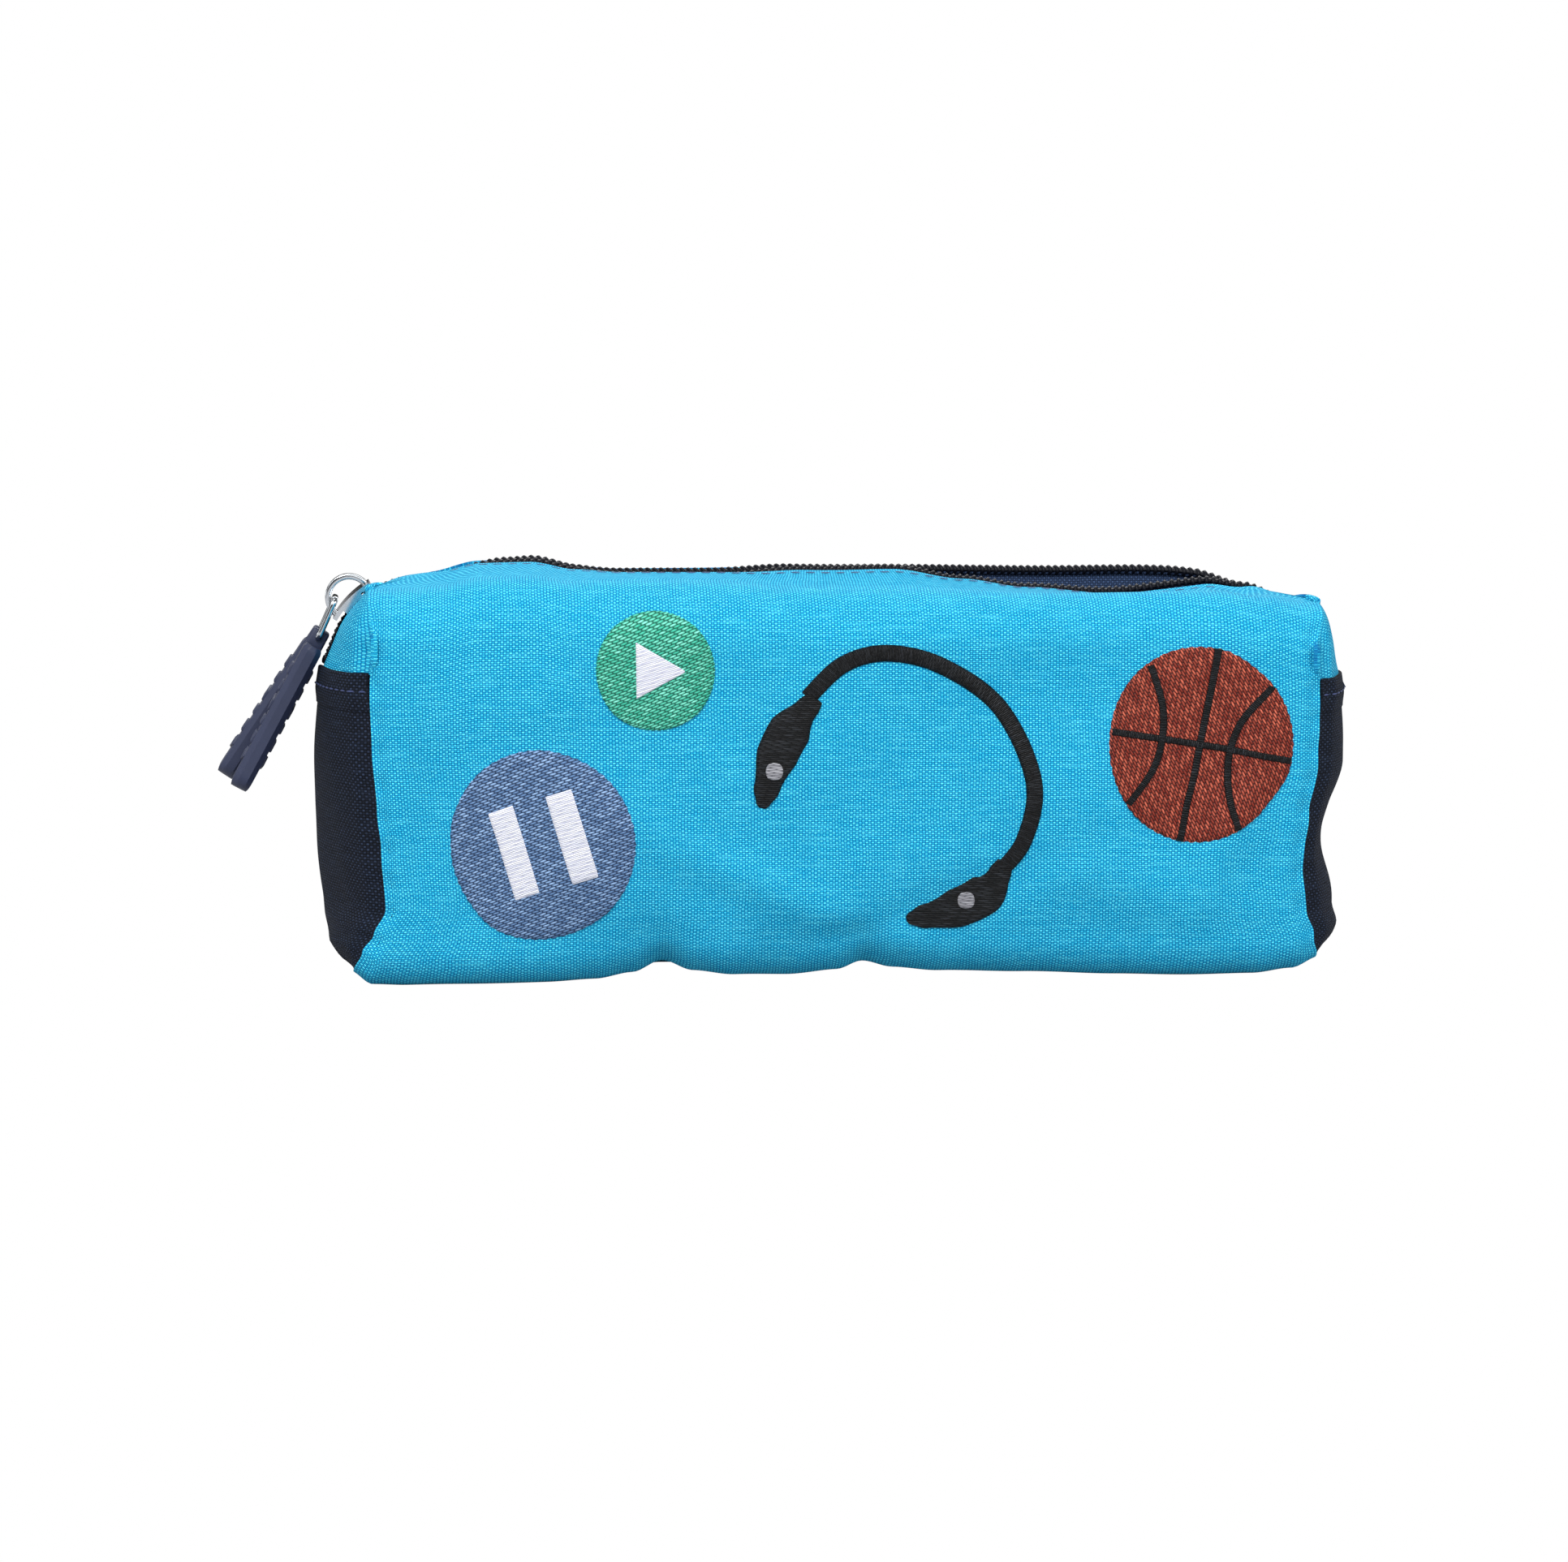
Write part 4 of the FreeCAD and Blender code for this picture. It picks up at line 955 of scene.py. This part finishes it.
def barSpot(across, up, length, width, tilt):
    turn = math.radians(tilt)

    def spot(u, v):
        a, b = (u - 0.5) * length, (v - 0.5) * width
        return across + a * -math.sin(turn) - b * math.cos(turn), up + a * math.cos(turn) - b * math.sin(turn)
    return spot


def triangleSpot(corners):
    def spot(u, v):
        low = Vector(corners[0]).lerp(Vector(corners[1]), v)
        point = low.lerp(Vector(corners[2]), u * 0.985)
        return point.x, point.y
    return spot


motifs = {
    # discs: across, up, half width, half height
    "pause": (-64.2, 30.5, 20.6, 20.2), "play": (-39.4, 67.2, 12.7, 12.4), "ball": (76.0, 51.1, 18.7, 21.3),
    "bars": [(-70.0, 29.3), (-57.3, 32.7)], "barSize": (20.2, 6.3, 17),  # length, width, tilt
    "triangle": [(-43.8, 73.7), (-43.7, 61.2), (-32.9, 67.3)],
    "band": [(-7.3, 61.6), (0.4, 68.8), (10, 71.2), (22, 68.2), (34.2, 59.2), (41.2, 43.6), (39.2, 30.8),
             (33.4, 23.2)],
    "leftPad": [(-5.3, 61.8), (-10.3, 55.8), (-14.0, 48.6), (-17.0, 38.2)],
    "rightPad": [(35.2, 26.2), (31.8, 19.9), (24.0, 15.7), (14.0, 13.6)],
    "padWidth": [(0, 1.75), (0.15, 2.6), (0.4, 4.7), (0.62, 4.6), (0.85, 2.9), (0.96, 1.5), (1, 0.4)],
    "dots": [(-14.3, 46.2), (26.9, 17.9)], "dotRadius": 2.0,
    "seams": [[(-19.6, 2.9), (0, 0), (19.7, -3.2)], [(3.7, 19.8), (0.2, 2), (-3.7, -19.8)],
              [(-10.9, 16.5), (-8.1, 6.5), (-9.7, -3.8), (-15.8, -12.2)],
              [(15.3, 13.0), (8.1, 4.0), (5.9, -6.4), (9.5, -17.7)]],
}


for name, key, slot in (("pause_disc", "pause", "thread_slate"), ("play_disc", "play", "thread_green"),
                        ("basketball_disc", "ball", "thread_rust")):
    disc = motif(name + "Thread", 64, 64, discSpot(*motifs[key], 0.006), edge=14)
    finish(disc, slot, "case", name)
bars = [motif("bar", 40, 14, barSpot(*place, *motifs["barSize"]), 0.4, 0.5, 8) for place in motifs["bars"]]
finish(join("pause_barsThread", bars), "thread_white", "case", "pause_bars")
triangle = motif("play_triangleThread", 30, 30, triangleSpot(motifs["triangle"]), 0.4, 0.5, 9)
finish(triangle, "thread_white", "case", "play_triangle")
band = motif("band", 150, 10, strapSpot(motifs["band"], [(0, 1.9)]), 0.6, 0.0, 3,
             lambda u, v: (v * 3.8, u * 130))
pads = [motif("pad", 46, 18, strapSpot(motifs[key], motifs["padWidth"]), 0.65, 0.0, 4)
        for key in ("leftPad", "rightPad")]
finish(join("headphone_bandThread", [band] + pads), "thread_black", "case", "headphone_band")
radius = motifs["dotRadius"]
dots = [motif("dot", 14, 14, discSpot(*place, radius, radius), 0.35, 0.6, 6) for place in motifs["dots"]]
finish(join("headphone_dotsThread", dots), "thread_grey", "case", "headphone_dots")
seams = []
for line in motifs["seams"]:
    placed = [(x * 0.92 + motifs["ball"][0], z * 1.05 + motifs["ball"][1]) for x, z in line]
    seams.append(motif("seam", 60, 8, strapSpot(placed, [(0, 0.85)]), 0.4, 0.5, 3,
                       lambda u, v: (v * 1.7, u * 40)))
finish(join("basketball_linesThread", seams), "thread_black", "case", "basketball_lines")
print("embroidery ready")


# slider, ring and grips
jointPlaces = {joint["name"]: Vector(joint["pos_m"]) / mm for joint in frame["joints"] if "pos_m" in joint}
slider = {"crownRadius": 5.2, "strip": 1.3, "width": 2.6, "plateRadius": case["turnRadius"] + 1.5, "tilt": 45,
          "ringWidth": 8.4, "ringLength": 9.0, "ringCorner": 1.3, "ringAngle": 24, "wire": 0.7}


def softBox(angle, half, tall, power=0.35):  # a rounded oblong section
    c, s = math.cos(angle), math.sin(angle)
    return half * math.copysign(abs(c) ** power, c), tall * math.copysign(abs(s) ** power, s)


tilt = math.radians(slider["tilt"])
outward = Vector((-math.sin(tilt), 0, math.cos(tilt)))
downhill = Vector((-math.cos(tilt), 0, -math.sin(tilt)))
turnCentre = jointPlaces["slider_travel"]


def crownPlace(u, angle):
    around = mix(-0.06, math.pi + 0.06, u)
    centre = turnCentre + outward * (slider["plateRadius"] - 0.2)
    thin, wide = softBox(angle, slider["strip"] / 2, slider["width"] / 2)
    radius = slider["crownRadius"] - slider["strip"] / 2 + thin
    return centre + (downhill * math.cos(around) + outward * math.sin(around)) * radius + Vector((0, wide, 0))


crown = tubeMesh("crownArch", 48, 32, crownPlace)
smoothFaces(crown, 40)
finish(crown, "chrome", "slider", "slider_crown")


def ringPath(u):  # a rounded oblong loop hanging from the origin
    half, length, corner = slider["ringWidth"] / 2, slider["ringLength"], slider["ringCorner"]
    straight = [(-half + corner, 0), (half - corner, 0), (half, -corner), (half, -length + corner),
                (half - corner, -length), (-half + corner, -length), (-half, -length + corner),
                (-half, -corner)]
    centres = [(half - corner, -corner), (half - corner, -length + corner),
               (-half + corner, -length + corner), (-half + corner, -corner)]
    lap = u * 8 % 8
    stage, f = int(lap), lap - int(lap)
    if stage % 2 == 0:
        return Vector(straight[stage]).lerp(Vector(straight[(stage + 1) % 8]), f)
    angle = math.pi / 2 * (1 - stage // 2 - f)
    return Vector(centres[stage // 2]) + Vector((math.cos(angle), math.sin(angle))) * corner


def ringPlace(u, angle):
    here, ahead = ringPath(u), ringPath(u + 0.002)
    along = (ahead - here).normalized()
    out = Vector((-along.y, along.x))
    thin, wide = softBox(angle, slider["wire"], slider["wire"], 0.75)
    local = Vector((wide, *(here + out * thin)))
    turn = Matrix.Rotation(math.radians(slider["ringAngle"]), 3, "Y")
    return jointPlaces["ring_swing"] + turn @ local


ring = tubeMesh("pullRingLoop", 96, 14, ringPlace, True)
smoothFaces(ring, 60)
finish(ring, "chrome", "ring", "pull_ring")

grips = {
    "drop": 1.9, "length": 34.8, "width": 8.2, "thick": 4.2, "gap": 0.3, "bevel": 1.15,
    "tip": 3.6, "crest": 1.2,
    "eyeSize": (3.9, 2.8, 5.2), "eyeAcross": 1.7, "eyeDrop": 0.9,
    # raised blocks: length, width, and a gap between two or a lean
    "blocks": [(2.9, 4.4, 0), (2.6, 1.7, 1.3), (2.9, 4.4, 14), (2.4, 4.6, 0), (2.9, 1.8, 1.2),
               (2.7, 4.3, -16)],
    "blockStart": 6.45, "blockPitch": 4.2, "blockDeep": 1.5, "blockSunk": 0.28,
    "sides": {"front_grip": -1, "rear_grip": 1}, "angles": {"front_grip": 28.6, "rear_grip": 34.2},
}


def facet(t, half, tall, bevel):  # round an oblong with bevelled corners
    corners = [(half, bevel - tall), (half, tall - bevel), (half - bevel, tall), (bevel - half, tall),
               (-half, tall - bevel), (-half, bevel - tall), (bevel - half, -tall), (half - bevel, -tall)]
    lap = t * 8 % 8
    return Vector(corners[int(lap)]).lerp(Vector(corners[(int(lap) + 1) % 8]), lap - int(lap))


def gripMesh(name, side):
    middle = side * (grips["gap"] + grips["width"] / 2)
    halfWide, halfThick = grips["width"] / 2, grips["thick"] / 2

    def place(u, angle):
        down = mix(0, grips["length"], u)
        tip = max(0, down - grips["length"] + grips["tip"]) / grips["tip"]
        crest = max(0, grips["crest"] - down) / grips["crest"]
        narrow = math.sqrt(max(0.0, 1 - tip ** 2.4 * 0.93)) * math.sqrt(1 - 0.25 * crest ** 2)
        slim = 1 - 0.16 * tip ** 4 - 0.2 * crest ** 2
        across, deep = facet(angle / math.tau, halfWide, halfThick, grips["bevel"])
        return Vector((deep * slim, middle + across * narrow, -grips["drop"] - down))

    parts = [tubeMesh("gripBody", 60, 32, place)]
    spot = (0, side * grips["eyeAcross"] * mm, -grips["eyeDrop"] * mm)
    bpy.ops.mesh.primitive_cube_add(size=mm, location=spot)
    eye = bpy.context.object
    eye.scale = grips["eyeSize"]
    bpy.ops.object.transform_apply(location=True, rotation=True, scale=True)
    modify(eye, "BEVEL", width=0.6 * mm, segments=3)
    parts.append(eye)
    for number, (length, wide, split) in enumerate(grips["blocks"]):
        drop = grips["drop"] + grips["blockStart"] + number * grips["blockPitch"]
        spots = [(-split, 0), (split, 0)] if 0 < split < 2 else [(0, split)]
        for face in (-1, 1):
            for shift, lean in spots:
                bpy.ops.mesh.primitive_cube_add(size=mm)
                block = bpy.context.object
                block.data.transform(Matrix.Diagonal((grips["blockDeep"], wide, length, 1)))
                block.data.transform(Matrix.Rotation(math.radians(lean), 4, "X"))
                spot = Vector((face * (halfThick - grips["blockSunk"]), middle + shift, -drop))
                block.data.transform(Matrix.Translation(spot * mm))
                modify(block, "BEVEL", width=0.32 * mm, segments=3)
                parts.append(block)
    return join(name, parts)


for name, side in grips["sides"].items():
    grip = gripMesh(name + "Rubber", side)
    turn = Matrix.Rotation(math.radians(grips["angles"][name]), 4, "Y")
    grip.data.transform(Matrix.Translation(jointPlaces["front_grip_swing"] * mm) @ turn)
    smoothFaces(grip, 40)
    finish(grip, "grip_rubber", "front_pull" if side < 0 else "rear_pull", name)

for held in frame["nodes"]["slider_body"].material_slots:
    held.material = finishes["chrome"]
print("slider and grips ready")

# stage, light and camera
bpy.ops.mesh.primitive_plane_add(size=60, location=(0, 0, 0))
floor = bpy.context.object
floor.name = "floor"
pale, paleWires, paleShader = startMaterial("paleFloor")
seen = paleWires.node("LightPath").outputs["Is Camera Ray"]
paleWires.feed(paleShader.inputs["Base Color"], paleWires.blend(seen, (0.4, 0.4, 0.41, 1), (0, 0, 0, 1)))
paleShader.inputs["Roughness"].default_value = 0.9
paleShader.inputs["Specular IOR Level"].default_value = 0.0
paleShader.inputs["Emission Color"].default_value = (1, 1, 1, 1)
paleWires.feed(paleShader.inputs["Emission Strength"], seen)
floor.data.materials.append(pale)

studio = {"sky": 1.02, "ground": 0.25, "glossDark": 0.03, "glossBright": 1.6}
world = bpy.context.scene.world or bpy.data.worlds.new("studio")
bpy.context.scene.world = world
world.use_nodes = True
world.node_tree.nodes.clear()
sky = Wires(world.node_tree)
background = sky.node("Background")
background.inputs["Color"].default_value = (1, 1, 1, 1)
sky.tree.links.new(background.outputs[0], sky.node("OutputWorld").inputs[0])
way = sky.node("TexCoord").outputs["Generated"]
height = sky.node("SeparateXYZ", None, Vector=way).outputs[2]
soft = sky.remap(height, -0.5, 0.9, studio["ground"], studio["sky"], "SMOOTHSTEP")
patches = sky.remap(sky.grain(way, 2.3, 1.0, 0.4), 0.5, 0.58, studio["glossDark"], studio["glossBright"],
                    "SMOOTHSTEP")
ray = sky.node("LightPath")
strength = sky.node("Mix", {"data_type": "FLOAT"})
sky.feed(strength.inputs[0], ray.outputs["Is Glossy Ray"])
sky.feed(strength.inputs[2], soft)
sky.feed(strength.inputs[3], patches)
shown = sky.node("Mix", {"data_type": "FLOAT"})
sky.feed(shown.inputs[0], ray.outputs["Is Camera Ray"])
sky.feed(shown.inputs[2], strength.outputs[0])
sky.feed(shown.inputs[3], 1.0)
sky.feed(background.inputs["Strength"], shown.outputs[0])


lights = {  # place, size and power
    "keyLight": ((-0.45, -1.0, 1.0), 0.6, 17.5),
    "fillLight": ((0.8, -0.9, 0.5), 0.8, 6),
    "backLight": ((0.2, 1.1, 0.9), 0.8, 7),
}
for name, (place, size, power) in lights.items():
    bpy.ops.object.light_add(type="AREA", location=place)
    lamp = bpy.context.object
    lamp.name = name
    lamp.data.size = size
    lamp.data.energy = power
    lamp.rotation_euler = (Vector((0, 0, 0.04)) - Vector(place)).to_track_quat("-Z", "Y").to_euler()

view = {"aim": Vector((-0.0121, -0.032, 0.044)), "turn": math.radians(4.8), "rise": math.radians(7),
        "away": 1.1, "lens": 118.9}
level = math.cos(view["rise"])
back = Vector((-math.sin(view["turn"]) * level, -math.cos(view["turn"]) * level, math.sin(view["rise"])))
bpy.ops.object.camera_add(location=view["aim"] + back * view["away"])
camera = bpy.context.object
camera.rotation_euler = (-back).to_track_quat("-Z", "Y").to_euler()
camera.data.lens = view["lens"]
camera.data.clip_start = 0.01
bpy.context.scene.camera = camera
bpy.context.scene.view_settings.view_transform = "Standard"
